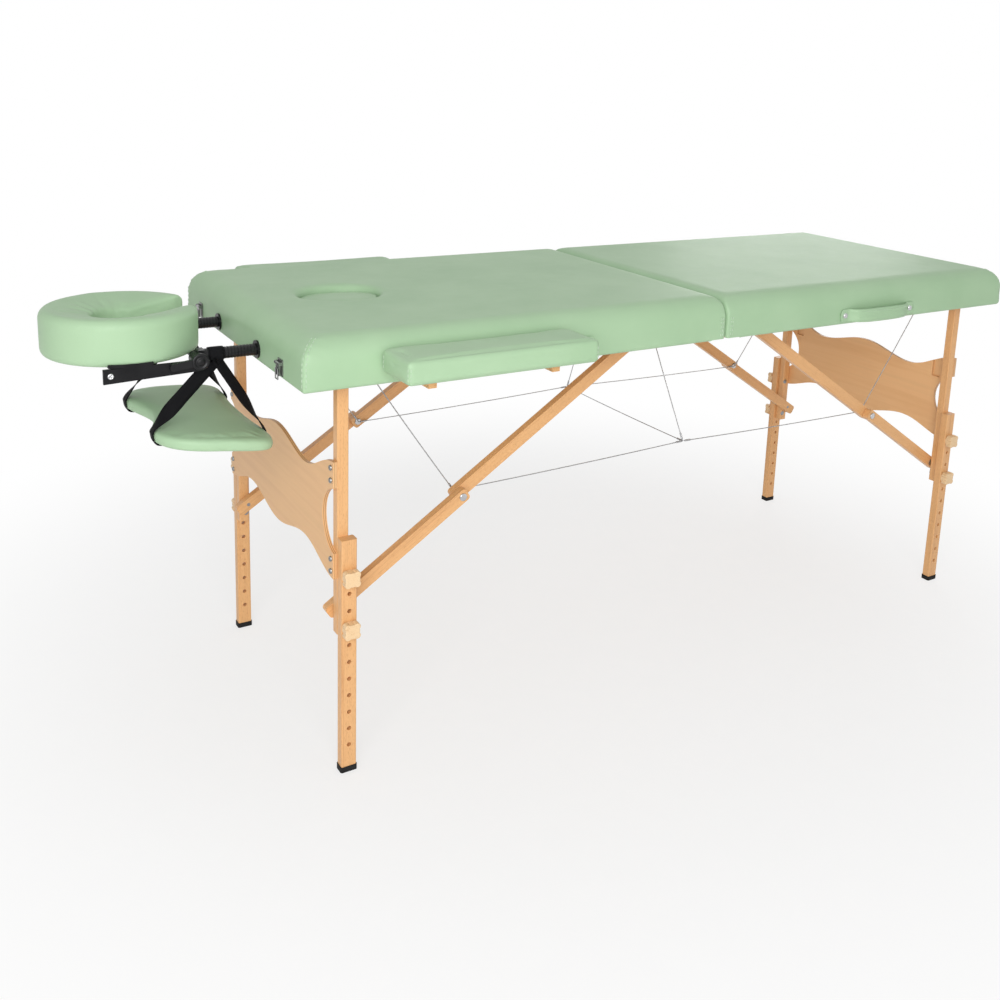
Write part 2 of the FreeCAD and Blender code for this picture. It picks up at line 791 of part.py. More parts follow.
def shelf_straps():
    """Webbing loops over the posts, each with two tails down to the shelf.

    The loops widen towards both ends, so that the shelf can swing on the posts.
    """
    apex = head_end - strap_apex
    half = strap_width / 2
    y0 = -post_y - strap_thickness / 2
    y1 = y0 + strap_thickness
    inner = post_radius + sliding_gap
    loop = rod((apex - half, -post_y, post_z), (apex + half, -post_y, post_z), inner + strap_thickness)
    top = post_z - inner
    tails = []
    for foot_x in (head_end - strap_front, head_end - strap_back):
        outline = [(apex - half, top), (apex + half, top)]
        outline += [(foot_x + half, shelf_top), (foot_x - half, shelf_top)]
        tails.append(prism_xz(outline, y0, y1))
    strap = loop.fuse(tails).removeSplitter()
    mouth = inner + strap_width * math.tan(math.radians(strap_flare))
    for side in (-1, 1):
        flare = Part.makeCone(inner, mouth, strap_width, vec(apex, -post_y, post_z), vec(side, 0, 0))
        strap = strap.cut(flare)
    return pair(strap)


# Side armrests

def armrest_pad():
    pad = block(-armrest_from, -armrest_to, -armrest_inner - armrest_depth, -armrest_inner,
                armrest_bottom, armrest_bottom + armrest_thickness)
    return pad.makeFillet(armrest_rounding, pad.Edges)


def armrest_bars():
    """Wooden bars under the pad, each ending in a round spigot that plugs into the side rail."""
    solids = []
    for x in (-spigot_outer_x, -spigot_inner_x):
        bar = block(x - bar_width / 2, x + bar_width / 2, -armrest_inner - bar_reach, -armrest_inner,
                    armrest_bottom - bar_height, armrest_bottom)
        pin = rod((x, -armrest_inner, spigot_z), (x, -socket_inner - fit, spigot_z), spigot_radius)
        solids.append(bar.fuse(pin).removeSplitter())
    return solids


# Carry handles

def handle(bulge, rise):
    """Strap handle on the near side, screwed down at both ends."""
    y = -half_width
    x0 = handle_x - handle_span / 2
    x1 = handle_x + handle_span / 2
    a = x0 + handle_pad
    b = x1 - handle_pad
    z = deck_z + rise
    t = handle_thickness
    outer = Part.Arc(vec(a, y - t, z), vec(handle_x, y - t - bulge, z), vec(b, y - t, z)).toShape()
    inner = Part.Arc(vec(a + t, y, z), vec(handle_x, y - bulge, z), vec(b - t, y, z)).toShape()
    lines = [((x0, y), (a + t, y)), ((b - t, y), (x1, y)), ((x1, y), (x1, y - t)), ((x1, y - t), (b, y - t)),
             ((a, y - t), (x0, y - t)), ((x0, y - t), (x0, y))]
    edges = [outer, inner] + [Part.makeLine(vec(*p, z), vec(*q, z)) for p, q in lines]
    strap = Part.Face(Part.Wire(Part.__sortEdges__(edges))).extrude(vec(0, 0, handle_width))
    mid = z + handle_width / 2
    screws = [rod((x, y - t, mid), (x, y - t - handle_screw_height, mid), handle_screw)
              for x in (x0 + handle_pad / 2, x1 - handle_pad / 2)]
    return [strap] + screws


# Latches

def latch_base():
    z0 = deck_z + latch_rise
    plate = block(head_end - latch_plate, head_end, -latch_y - latch_width / 2, -latch_y + latch_width / 2,
                  z0, z0 + latch_plate_height)
    x = head_end - latch_pivot_out
    z = deck_z + latch_pivot_rise
    ears = []
    for y in (-latch_y - latch_width / 2, -latch_y + latch_width / 2 - ear_thickness):
        ear = block(x, head_end - latch_plate, y, y + ear_thickness, z - latch_barrel, z + latch_barrel)
        ears += [ear, rod((x, y, z), (x, y + ear_thickness, z), latch_barrel)]
    pin = rod((x, -latch_y - latch_width / 2, z), (x, -latch_y + latch_width / 2, z), latch_barrel / 2)
    return plate.fuse(ears + [pin]).removeSplitter()


def latch_lever():
    """Lever plate hanging from the latch pin, with its wire bail."""
    x = head_end - latch_pivot_out
    z = deck_z + latch_pivot_rise
    half = lever_plate_width / 2
    barrel = rod((x, -latch_y - half, z), (x, -latch_y + half, z), latch_barrel)
    bore = rod((x, -latch_y - half, z), (x, -latch_y + half, z), latch_barrel / 2 + running_fit)
    plate = block(x - lever_plate / 2, x + lever_plate / 2, -latch_y - half, -latch_y + half,
                  z - lever_plate_height, z)
    lever = barrel.fuse(plate).removeSplitter().cut(bore)
    wire_x = x - lever_plate / 2 - bail_radius
    low = z - lever_plate_height - bail_tail
    high = z - bail_top
    y0 = -latch_y - half + bail_inset
    y1 = -latch_y + half - bail_inset
    uprights = [rod((wire_x, y, low), (wire_x, y, high), bail_radius) for y in (y0, y1)]
    crossings = [rod((wire_x, y0, h), (wire_x, y1, h), bail_radius) for h in (low, high)]
    bail = uprights[0].fuse(uprights[1:] + crossings)
    return [lever, bail.removeSplitter()]


def strike():
    """Hooked plate that the bail catches; drawn at the head end and mirrored to the foot end."""
    z0 = deck_z + latch_rise
    y0 = -latch_y - strike_width / 2
    y1 = -latch_y + strike_width / 2
    top = z0 + strike_height
    tip = head_end - strike_out
    plate = block(head_end - latch_plate, head_end, y0, y1, z0, top)
    lip = block(tip, head_end, y0, y1, top - hook_thickness, top)
    hook = block(tip, tip + hook_thickness, y0, y1, top - hook_thickness, top + hook_rise)
    return plate.fuse([lip, hook]).removeSplitter()


# Bracing cables

def cables(head):
    """Tie cables of one section: deck to brace joint and brace joint to mid-span."""
    r = cable_radius
    joint = (brace_mid[0], -cable_y, brace_mid[1])
    anchor = (leg_x + cable_anchor, -cable_y, rail_top - cable_radius)
    middle = (0, -cable_y, brace_mid[1] + cable_sag)
    tie = rod(anchor, joint, r)
    if not head:
        stop = (-ferrule_radius - sliding_gap, -cable_y, middle[2])
        run = rod(joint, stop, r)
        return pair(tie.fuse([run, Part.makeSphere(r, vec(*joint))]))
    run = rod(joint, middle, r)
    ball = Part.makeSphere(ferrule_radius, vec(*middle))
    near = tie.fuse([run, ball, Part.makeSphere(r, vec(*joint))])
    cross = rod(middle, (0, cable_y, middle[2]), r)
    drop_x = -section_gap / 2 - core_inset - centre_rail - cable_clear
    drop_top = (drop_x, -cable_drop_y, rail_top - cable_radius)
    drop = rod(middle, drop_top, r)
    return [near.fuse([far(near), cross, drop, far(drop)]).removeSplitter()]


os.makedirs("parts", exist_ok=True)
for end, head in (("head", True), ("foot", False)):
    foot = not head
    save(f"{end}_frame", frame(head), foot)
    save(f"{end}_deck_board", deck_board(head), foot)
    save(f"{end}_foam", foam(head), foot)
    save(f"{end}_cover", cover(head), foot)
    save(f"{end}_upper_legs", pair(upper_leg()), foot)
    save(f"{end}_panel", end_panel(), foot)
    save(f"{end}_leg_fasteners", leg_fasteners(), foot)
    save(f"{end}_hinge_leaves", hinge_set(head), foot)
    save(f"{end}_handle", handle(head_handle_bulge, head_handle_rise) if head
         else handle(foot_handle_bulge, foot_handle_rise), foot)
    save(f"{end}_cables", cables(head), foot)
    for side in ("near", "far"):
        def on_side(shape):
            return shape if side == "near" else far(shape)

        save(f"{end}_{side}_lower_leg", [on_side(lower_leg())], foot)
        save(f"{end}_{side}_foot_cap", [on_side(foot_cap())], foot)
        save(f"{end}_{side}_lower_strut", [on_side(s) for s in lower_strut()], foot)
        save(f"{end}_{side}_upper_strut", [on_side(s) for s in upper_strut()], foot)
        for place, z in zip(("upper", "lower"), knob_levels):
            save(f"{end}_{side}_{place}_knob", [on_side(star_knob(z))], foot)

save("face_plug", face_plug())
save("cradle_bushes", cradle_bushes())
save("cradle_frame", cradle_frame())
save("cradle_platform", cradle_platform())
save("cradle_cushion", cradle_cushion())
save("cradle_lever", tilt_lever())
save("arm_shelf", arm_shelf())
save("arm_shelf_straps", shelf_straps())
save("near_armrest", [armrest_pad()])
save("far_armrest", [far(armrest_pad())])
save("near_armrest_bars", armrest_bars())
save("far_armrest_bars", [far(s) for s in armrest_bars()])
save("latch_bases", pair(latch_base()))
save("near_latch_lever", latch_lever())
save("far_latch_lever", [far(s) for s in latch_lever()])
save("latch_strikes", pair(strike()), True)
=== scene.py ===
import bmesh
import bpy
import math
from mathutils import Matrix, Vector
from mathutils.bvhtree import BVHTree


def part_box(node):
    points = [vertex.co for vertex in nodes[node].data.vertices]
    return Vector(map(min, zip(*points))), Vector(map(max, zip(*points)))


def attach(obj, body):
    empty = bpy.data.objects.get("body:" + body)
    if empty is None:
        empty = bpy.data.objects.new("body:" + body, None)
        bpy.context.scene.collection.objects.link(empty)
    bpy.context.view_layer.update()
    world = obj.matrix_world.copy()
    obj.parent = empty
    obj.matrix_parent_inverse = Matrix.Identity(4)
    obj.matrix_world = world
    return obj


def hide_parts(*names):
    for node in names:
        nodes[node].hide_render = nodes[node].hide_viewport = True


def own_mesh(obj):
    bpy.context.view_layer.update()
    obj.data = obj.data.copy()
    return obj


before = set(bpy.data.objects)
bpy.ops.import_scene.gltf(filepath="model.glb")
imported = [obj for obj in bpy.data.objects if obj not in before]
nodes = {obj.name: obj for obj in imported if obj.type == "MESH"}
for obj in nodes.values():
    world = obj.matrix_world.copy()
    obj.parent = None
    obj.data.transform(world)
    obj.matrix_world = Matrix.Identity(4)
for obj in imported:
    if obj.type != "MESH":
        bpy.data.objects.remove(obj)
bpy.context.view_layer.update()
scene = bpy.context.scene

HALVES = (("head", -1), ("foot", 1))
SIDES = (("near", -1), ("far", 1))


def box_of(node):
    """Low and high corner of a node."""
    return (Vector(v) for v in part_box(node))


# Main places, in metres, from the solids
DECK_LOW, DECK_HIGH = box_of("head_cover")
FOOT_LOW, FOOT_HIGH = box_of("foot_cover")
DECK_Z = DECK_LOW.z
DECK_TOP = DECK_HIGH.z
BOARD_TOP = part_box("head_deck_board")[1][2]
HINGE_X = (DECK_HIGH.x + FOOT_LOW.x) / 2
HALF_WIDTH = DECK_HIGH.y
HEAD_END = DECK_LOW.x
PLUG_LOW, PLUG_HIGH = box_of("face_plug")
PLUG_GAP = 0.001
FACE_X = (PLUG_LOW.x + PLUG_HIGH.x) / 2
FACE_A = (PLUG_HIGH.x - PLUG_LOW.x) / 2 + PLUG_GAP
FACE_B = (PLUG_HIGH.y - PLUG_LOW.y) / 2 + PLUG_GAP
SHELF_LOW, SHELF_HIGH = box_of("arm_shelf")
SHELF_MID = (SHELF_LOW + SHELF_HIGH) / 2

# Sizes of the padded forms, in metres
ROUNDING = 0.046  # radius of the deck's upper edges
HINGE_ROUNDING = 0.024  # the same beside the hinge
CROWN = 0.005  # room for the filling to rise above the slab
RIM_ROLL = 0.014  # radius of the face opening's upper rim
HEM = 0.014  # height of the deck's hem, which stays put
CUSHION_RADIUS = 0.14
PLUG_DROP = 0.009  # how far the plug's far side lies below its near side
SHELF_SLOPE = math.tan(math.radians(5))  # the hanging shelf's lean
SHELF_CORNER = 0.022  # how far the shelf's back corners are drawn out, at most


# Materials

def tune(node, **values):
    """Sets a node's attributes and inputs by name."""
    for key, value in values.items():
        if hasattr(node, key):
            setattr(node, key, value)
        else:
            node.inputs[key.replace("_", " ")].default_value = value


def wire(tree, node, links):
    """Joins outputs of other nodes to a node's inputs."""
    for key, output in links.items():
        tree.links.new(output, node.inputs[key])


def put(tree, kind, links=None, **values):
    """Adds a node with its values and links."""
    node = tree.nodes.new("ShaderNode" + kind)
    tune(node, **values)
    wire(tree, node, links or {})
    return node


def calc(tree, operation, *terms):
    """A math node's result from outputs and numbers."""
    node = put(tree, "Math", operation=operation)
    for socket, term in zip(node.inputs, terms):
        if isinstance(term, float):
            socket.default_value = term
        else:
            tree.links.new(term, socket)
    return node.outputs[0]


def material(name, color=(0.5, 0.5, 0.5), rough=0.5, metal=0.0):
    mat = bpy.data.materials.new(name)
    mat.use_nodes = True
    shader = mat.node_tree.nodes["Principled BSDF"]
    tune(shader, Base_Color=(*color, 1), Roughness=rough, Metallic=metal)
    return mat, mat.node_tree, shader


def ramp(tree, factor, stops):
    node = put(tree, "ValToRGB", {"Fac": factor})
    elements = node.color_ramp.elements
    while len(elements) < len(stops):
        elements.new(0.5)
    for element, (place, color) in zip(elements, stops):
        element.position = place
        element.color = (*color, 1)
    return node.outputs["Color"]


def span(tree, factor, low, high):
    """A factor of 0 to 1 stretched to another span."""
    return put(tree, "MapRange", {"Value": factor}, To_Min=low, To_Max=high).outputs["Result"]


def place(tree, scale=(1, 1, 1), turn=(0, 0, 0)):
    """Object coordinates, turned and then scaled."""
    coords = put(tree, "TexCoord").outputs["Object"]
    turned = put(tree, "Mapping", {"Vector": coords}, Rotation=turn)
    return put(tree, "Mapping", {"Vector": turned.outputs["Vector"]}, Scale=scale).outputs["Vector"]


def cloud(tree, vector, scale, detail=3.0, rough=0.5):
    node = put(tree, "TexNoise", {"Vector": vector}, Scale=scale, Detail=detail, Roughness=rough)
    return node.outputs["Fac"]


def bump(tree, shader, height, distance, strength=1.0, under=None):
    """Relief for a shader, on top of another relief where one is given."""
    links = {"Height": height} if under is None else {"Height": height, "Normal": under}
    normal = put(tree, "Bump", links, Distance=distance, Strength=strength).outputs["Normal"]
    wire(tree, shader, {"Normal": normal})
    return normal


def vinyl(name, dark, light):
    """Soft upholstery vinyl: fine leather grain over slow changes of tone."""
    mat, tree, shader = material(name)
    flat = place(tree)
    tone = cloud(tree, flat, 6.0, 4.0)
    wire(tree, shader, {"Base Color": ramp(tree, tone, [(0.3, dark), (0.7, light)]),
                        "Roughness": span(tree, cloud(tree, flat, 34.0), 0.4, 0.52)})
    tune(shader, Specular_IOR_Level=0.28)
    cells = put(tree, "TexVoronoi", {"Vector": flat}, Scale=620.0)
    soft = bump(tree, shader, cloud(tree, flat, 42.0, 2.0), 0.0012, 0.25)
    bump(tree, shader, cells.outputs["Distance"], 0.00035, 0.35, soft)
    return mat


def wood(name, dark, light, grain=(0, 0, 1), rough=(0.36, 0.5)):
    """Varnished straight-grained timber, with the grain along the given direction."""
    mat, tree, shader = material(name)
    turn = Vector(grain).rotation_difference(Vector((0, 0, 1))).to_euler()
    wide = cloud(tree, place(tree, (1, 1, 0.045), turn), 48.0, 5.0, 0.6)
    fine = cloud(tree, place(tree, (1, 1, 0.02), turn), 420.0, 3.0, 0.65)
    fleck = cloud(tree, place(tree, (1, 1, 0.16), turn), 900.0, 1.0)
    mean = calc(tree, "MULTIPLY", calc(tree, "ADD", wide, fine), 0.5)
    body = ramp(tree, mean, [(0.34, dark), (0.5, light), (0.66, tuple(0.9 * c for c in light))])
    pores = ramp(tree, fleck, [(0.3, (0.72, 0.62, 0.52)), (0.42, (1, 1, 1))])
    color = put(tree, "Mix", {"A": body, "B": pores}, data_type="RGBA", blend_type="MULTIPLY",
                Factor=0.55)
    wire(tree, shader, {"Base Color": color.outputs["Result"], "Roughness": span(tree, wide, *rough)})
    bump(tree, shader, fine, 0.0003, 0.25)
    tune(shader, Coat_Weight=0.15, Coat_Roughness=0.25)
    return mat


def plywood(name, dark, light, plies=0.0016):
    """Veneer faces with flowing grain along Y, and layered plies on the cut edges."""
    mat, tree, shader = material(name)
    long = place(tree, (1, 0.07, 1))
    wide = cloud(tree, long, 26.0, 6.0, 0.62)
    bands = put(tree, "TexWave", {"Vector": place(tree, (0, 0.05, 1))},
                Scale=16.0, Distortion=9.0, Detail=3.0, bands_direction="Z")
    bend = span(tree, bands.outputs["Fac"], -0.06, 0.1)
    flow = calc(tree, "MULTIPLY_ADD", wide, bend, wide)
    face = ramp(tree, flow, [(0.3, dark), (0.56, light), (0.8, tuple(0.93 * c for c in light))])
    coords = put(tree, "TexCoord")
    x = put(tree, "SeparateXYZ", {"Vector": coords.outputs["Object"]}).outputs["X"]
    stripe = span(tree, calc(tree, "PINGPONG", x, plies), 0.0, 1.0 / plies)
    layers = ramp(tree, stripe, [(0.35, tuple(0.6 * c for c in dark)), (0.6, light)])
    normal = put(tree, "SeparateXYZ", {"Vector": coords.outputs["Normal"]}).outputs["X"]
    is_face = calc(tree, "GREATER_THAN", calc(tree, "ABSOLUTE", normal), 0.6)
    color = put(tree, "Mix", {"Factor": is_face, "A": layers, "B": face}, data_type="RGBA")
    wire(tree, shader, {"Base Color": color.outputs["Result"], "Roughness": span(tree, wide, 0.36, 0.5)})
    bump(tree, shader, wide, 0.0003, 0.2)
    return mat


def moulded(name, dark, light, rough, grain=900.0, depth=0.0002, gloss=0.16):
    """Moulded plastic, powder coat or rubber with a fine texture."""
    mat, tree, shader = material(name)
    flat = place(tree)
    tone = cloud(tree, flat, 30.0, 4.0)
    wire(tree, shader, {"Base Color": ramp(tree, tone, [(0.3, dark), (0.7, light)]),
                        "Roughness": span(tree, cloud(tree, flat, 70.0), *rough)})
    bump(tree, shader, cloud(tree, flat, grain, 2.0), depth, 0.5)
    tune(shader, Specular_IOR_Level=gloss)
    return mat


def bright(name, tint, rough):
    """Plated metal with faint smudges and polishing marks."""
    mat, tree, shader = material(name, tint, 0.2, 1.0)
    flat = place(tree)
    smudge = cloud(tree, flat, 90.0, 4.0)
    shades = [(0.3, tuple(0.88 * c for c in tint)), (0.6, tint)]
    wire(tree, shader, {"Base Color": ramp(tree, smudge, shades), "Roughness": span(tree, smudge, *rough)})
    bump(tree, shader, cloud(tree, place(tree, (1, 1, 0.1)), 1500.0, 1.0), 0.00005, 0.4)
    return mat


def webbing_material():
    """Black woven tape; U runs across it and V along it, in metres."""
    mat, tree, shader = material("webbing")
    uv = put(tree, "TexCoord").outputs["UV"]
    rows = put(tree, "TexWave", {"Vector": uv}, Scale=160.0, Distortion=0.3, bands_direction="Y")
    cords = put(tree, "TexWave", {"Vector": uv}, Scale=210.0)
    weave = calc(tree, "MULTIPLY", rows.outputs["Fac"], cords.outputs["Fac"])
    shades = [(0.1, (0.004, 0.004, 0.005)), (0.8, (0.018, 0.018, 0.02))]
    wire(tree, shader, {"Base Color": ramp(tree, weave, shades), "Roughness": span(tree, weave, 0.62, 0.85)})
    bump(tree, shader, weave, 0.0005, 0.8)
    tune(shader, Specular_IOR_Level=0.08)
    return mat


def strand_material():
    """Thin steel rope: the lay of its strands runs round it at a slant."""
    mat, tree, shader = material("cable", (0.5, 0.51, 0.52), 0.35, 0.9)
    lay = put(tree, "TexWave", {"Vector": place(tree, (1, 1, 1), (0.5, 0.6, 0.4))}, Scale=260.0)
    # Painted shade: the colour follows the strand relief, darker in the grooves between strands and lighter
    # on their crests
    shades = [(0.2, (0.22, 0.22, 0.23)), (0.7, (0.62, 0.63, 0.64))]
    wire(tree, shader, {"Base Color": ramp(tree, lay.outputs["Fac"], shades)})
    bump(tree, shader, lay.outputs["Fac"], 0.0004, 0.7)
    return mat


MINT_DARK = (0.375, 0.555, 0.345)
MINT = (0.425, 0.605, 0.39)
BEECH_DARK = (0.64, 0.325, 0.13)
BEECH = (0.80, 0.445, 0.19)
BRACE_SLOPE = math.radians(33.0)
STRUT = Vector((math.cos(BRACE_SLOPE), 0, math.sin(BRACE_SLOPE)))
MATS = {
    "vinyl": vinyl("mint_vinyl", MINT_DARK, MINT),
    "thread": moulded("thread", (0.5, 0.62, 0.48), (0.6, 0.72, 0.58), (0.6, 0.8), 1400.0),
    "leg": wood("beech_upright", BEECH_DARK, BEECH),
    "rail": wood("beech_lengthways", BEECH_DARK, BEECH, (1, 0, 0)),
    "bar": wood("beech_crossways", BEECH_DARK, BEECH, (0, 1, 0)),
    "head_strut": wood("beech_head_brace", BEECH_DARK, BEECH, STRUT),
    "foot_strut": wood("beech_foot_brace", BEECH_DARK, BEECH, Vector((-STRUT.x, 0, STRUT.z))),
    "knob": wood("beech_knob", (0.72, 0.46, 0.23), (0.87, 0.62, 0.36), (0, 1, 0)),
    "panel": plywood("veneer_panel", (0.78, 0.44, 0.198), (0.85, 0.505, 0.24)),
    "board": wood("raw_ply", (0.46, 0.3, 0.16), (0.6, 0.42, 0.24), (1, 0, 0), (0.6, 0.75)),
    "plastic": moulded("black_plastic", (0.004, 0.004, 0.005), (0.009, 0.009, 0.01), (0.22, 0.34),
                       gloss=0.3),
    "coat": moulded("black_powder_coat", (0.005, 0.005, 0.006), (0.012, 0.012, 0.013), (0.4, 0.54),
                    1300.0),
    "rubber": moulded("black_rubber", (0.008, 0.008, 0.008), (0.02, 0.02, 0.02), (0.6, 0.78)),
    "steel": bright("zinc_plate", (0.3, 0.3, 0.3), (0.22, 0.4)),
    "chrome": bright("chrome", (0.58, 0.58, 0.59), (0.06, 0.2)),
    "webbing": webbing_material(),
    "cable": strand_material(),
}

# Material of each solid, by the longest ending that its name has
SKINS = {
    "_frame": "rail", "_deck_board": "board", "_upper_legs": "leg", "_lower_leg": "leg",
    "_panel": "panel", "_leg_fasteners": "steel", "_hinge_leaves": "steel", "_foot_cap": "rubber",
    "_knob": "knob", "_armrest_bars": "bar", "_latch_lever": "steel", "latch_bases": "steel",
    "latch_strikes": "steel", "cradle_bushes": "plastic", "cradle_frame": "plastic",
    "cradle_platform": "coat", "cradle_lever": "plastic", "_handle": "vinyl", "_foam": "vinyl",
    "_cover": "vinyl", "_armrest": "vinyl", "face_plug": "vinyl", "cradle_cushion": "vinyl",
    "arm_shelf": "vinyl", "arm_shelf_straps": "webbing", "_cables": "cable",
}
for node_name, node in nodes.items():
    if node_name.endswith("_strut"):
        skin = node_name[:4] + "_strut"
    else:
        skin = SKINS[max((e for e in SKINS if node_name.endswith(e)), key=len)]
    node.data.materials.clear()
    node.data.materials.append(MATS[skin])
    for face in node.data.polygons:
        face.use_smooth = True


# Mesh helpers

def linked(name, data):
    """A new object in the scene for a mesh."""
    piece = bpy.data.objects.new(name, data)
    scene.collection.objects.link(piece)
    return piece


def mesh_piece(name, verts, faces, skin, body, uvs=None):
    """A new piece from vertices and faces, which rides on a body."""
    data = bpy.data.meshes.new(name)
    data.from_pydata([tuple(v) for v in verts], [], faces)
    data.update()
    if uvs:
        layer = data.uv_layers.new(name="UVMap")
        for loop in data.loops:
            layer.data[loop.index].uv = uvs[loop.vertex_index]
    piece = linked(name, data)
    data.materials.append(MATS[skin])
    for face in data.polygons:
        face.use_smooth = True
    if body:
        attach(piece, body)
    return piece


def grid_faces(rows, cols):
    """Quads over a lattice whose rows are closed rings."""
    faces = []
    for i in range(rows - 1):
        for j in range(cols):
            k = (j + 1) % cols
            faces.append((i * cols + j, i * cols + k, (i + 1) * cols + k, (i + 1) * cols + j))
    return faces


def end_caps(total, sides):
    """The first and the last ring of a lattice as faces."""
    return [tuple(reversed(range(sides))), tuple(range(total - sides, total))]


def tangent(points, i):
    """Direction of a path at one of its points."""
    return (points[min(i + 1, len(points) - 1)] - points[max(i - 1, 0)]).normalized()


def tube(points, radius, sides=8):
    """Round rod along a path, with as little twist as possible."""
    verts = []
    up = None
    for i, p in enumerate(points):
        t = tangent(points, i)
        if up is None:
            up = t.orthogonal().normalized()
        side = t.cross(up).normalized()
        up = side.cross(t).normalized()
        for j in range(sides):
            a = 2 * math.pi * j / sides
            verts.append(p + radius * (math.cos(a) * side + math.sin(a) * up))
    return verts, grid_faces(len(points), sides) + end_caps(len(verts), sides)


def joined(parts):
    """One list of vertices and faces from several."""
    verts, faces = [], []
    for v, f in parts:
        start = len(verts)
        verts += v
        faces += [tuple(i + start for i in face) for face in f]
    return verts, faces


def screw_head(at, axis, radius, height, cross=True):
    """Domed head standing on a face, with or without a cross recess."""
    axis = Vector(axis)
    side = axis.orthogonal().normalized()
    up = axis.cross(side)
    rings, sides = 9, 24
    wall, sunk = 0.45, 0.0005
    slot_width, slot_reach, slot_depth = 0.16 * radius, 0.62 * radius, 0.4 * height
    verts = []
    for i in range(rings):
        r = radius * (1 - i / (rings - 1))
        dome = math.sqrt(max(0.0, 1 - (r / radius) ** 2))
        for j in range(sides):
            a = 2 * math.pi * j / sides
            x, y = r * math.cos(a), r * math.sin(a)
            h = height * (wall + (1 - wall) * dome) if i else -sunk
            in_slot = min(abs(x), abs(y)) < slot_width and max(abs(x), abs(y)) < slot_reach
            if cross and i and in_slot:
                h -= slot_depth
            verts.append(Vector(at) + x * side + y * up + h * axis)
    return verts, grid_faces(rings, sides)


def lathe(at, axis, profile, sides=36):
    """Turned form from pairs of radius and height along the axis."""
    axis = Vector(axis)
    side = axis.orthogonal().normalized()
    up = axis.cross(side)
    verts = []
    for r, h in profile:
        for j in range(sides):
            a = 2 * math.pi * j / sides
            verts.append(Vector(at) + r * (math.cos(a) * side + math.sin(a) * up) + h * axis)
    return verts, grid_faces(len(profile), sides)


# Padded pieces: each starts a little small, is blown up as cloth, and is held to its solid's space

def evaluated_mesh(piece):
    """The mesh of a piece with its modifiers applied."""
    graph = bpy.context.evaluated_depsgraph_get()
    return bpy.data.meshes.new_from_object(piece.evaluated_get(graph))


def remeshed(source, voxel):
    """A copy with even faces, in a new object."""
    mod = source.modifiers.new("remesh", "REMESH")
    mod.mode = "VOXEL"
    mod.voxel_size = voxel
    mod.use_smooth_shade = True
    data = evaluated_mesh(source)
    bpy.data.objects.remove(source)
    return linked("pad", data)


def shrunk_copy(node, inset):
    """A node's form drawn in on every side."""
    data = nodes[node].data.copy()
    low, high = box_of(node)
    middle = (low + high) / 2
    scale = [1 - 2 * inset / s for s in high - low]
    there, back = Matrix.Translation(-middle), Matrix.Translation(middle)
    data.transform(back @ Matrix.Diagonal((*scale, 1)) @ there)
    return linked("start", data)


def rounded_edge(edge, inward, top, radius):
    """Places across a rounded edge, each with the highest level there."""
    steps = 25
    out = []
    for i in range(steps):
        a = math.pi / 2 * i / (steps - 1)
        out.append((edge + inward * radius * (1 - math.cos(a)), top - radius * (1 - math.sin(a))))
    return out


def deck_form(low, high, hinge_side, hole):
    """Slab of one deck half: rounded over its sides and ends, which meet in mitred corners."""
    top = high.z - CROWN
    end_x, mid_x = (low.x, high.x) if hinge_side > 0 else (high.x, low.x)
    across = rounded_edge(low.y, 1, top, ROUNDING) + rounded_edge(high.y, -1, top, ROUNDING)
    along = rounded_edge(end_x, hinge_side, top, ROUNDING)
    along += rounded_edge(mid_x, -hinge_side, top, HINGE_ROUNDING)
    bm = bmesh.new()
    for x, level in along:
        for y, limit in across:
            bm.verts.new((x, y, min(level, limit)))
    for x in (low.x, high.x):
        for y in (low.y, high.y):
            bm.verts.new((x, y, low.z))
    hull = bmesh.ops.convex_hull(bm, input=bm.verts)
    inside = [g for g in hull["geom_interior"] if isinstance(g, bmesh.types.BMVert)]
    bmesh.ops.delete(bm, geom=inside, context="VERTS")
    data = bpy.data.meshes.new("deck")
    bm.to_mesh(data)
    bm.free()
    piece = linked("deck", data)
    if hole:
        cutter = oval_cutter(top)
        mod = piece.modifiers.new("hole", "BOOLEAN")
        mod.operation = "DIFFERENCE"
        mod.object = cutter
        data = evaluated_mesh(piece)
        piece.modifiers.clear()
        piece.data = data
        bpy.data.objects.remove(cutter)
    return piece


def oval_cutter(top):
    """The face opening's space, its upper rim rolled outwards."""
    lining, lift = 0.001, 0.0002
    steps, sides = 8, 72
    levels = [(BOARD_TOP, 0.0)]
    for i in range(steps):
        a = math.pi / 2 * i / (steps - 1)
        levels.append((top - RIM_ROLL + RIM_ROLL * math.sin(a) + lift, RIM_ROLL * (1 - math.cos(a))))
    levels.append((top + 0.02, RIM_ROLL + 0.001))
    verts = []
    for z, grow in levels:
        for j in range(sides):
            a = 2 * math.pi * j / sides
            verts.append((FACE_X + (FACE_A + lining + grow) * math.cos(a),
                          (FACE_B + lining + grow) * math.sin(a), z))
    data = bpy.data.meshes.new("cutter")
    data.from_pydata(verts, [], grid_faces(len(levels), sides) + end_caps(len(verts), sides))
    return linked("cutter", data)


CLOTH_FRAMES = 20


def add_cloth(piece, pinned):
    """Makes a piece a cloth under pressure, with chosen points pinned."""
    group = piece.vertex_groups.new(name="pin")
    group.add([v.index for v in piece.data.vertices if pinned(v.co)], 1.0, "REPLACE")
    mod = piece.modifiers.new("cloth", "CLOTH")
    cloth = mod.settings
    cloth.quality = 4
    cloth.mass = 0.3
    cloth.tension_stiffness = 12
    cloth.compression_stiffness = 12
    cloth.shear_stiffness = 6
    cloth.bending_stiffness = 1.5
    cloth.use_pressure = True
    cloth.uniform_pressure_force = 4
    cloth.vertex_group_mass = "pin"
    cloth.effector_weights.gravity = 0
    mod.collision_settings.use_collision = False


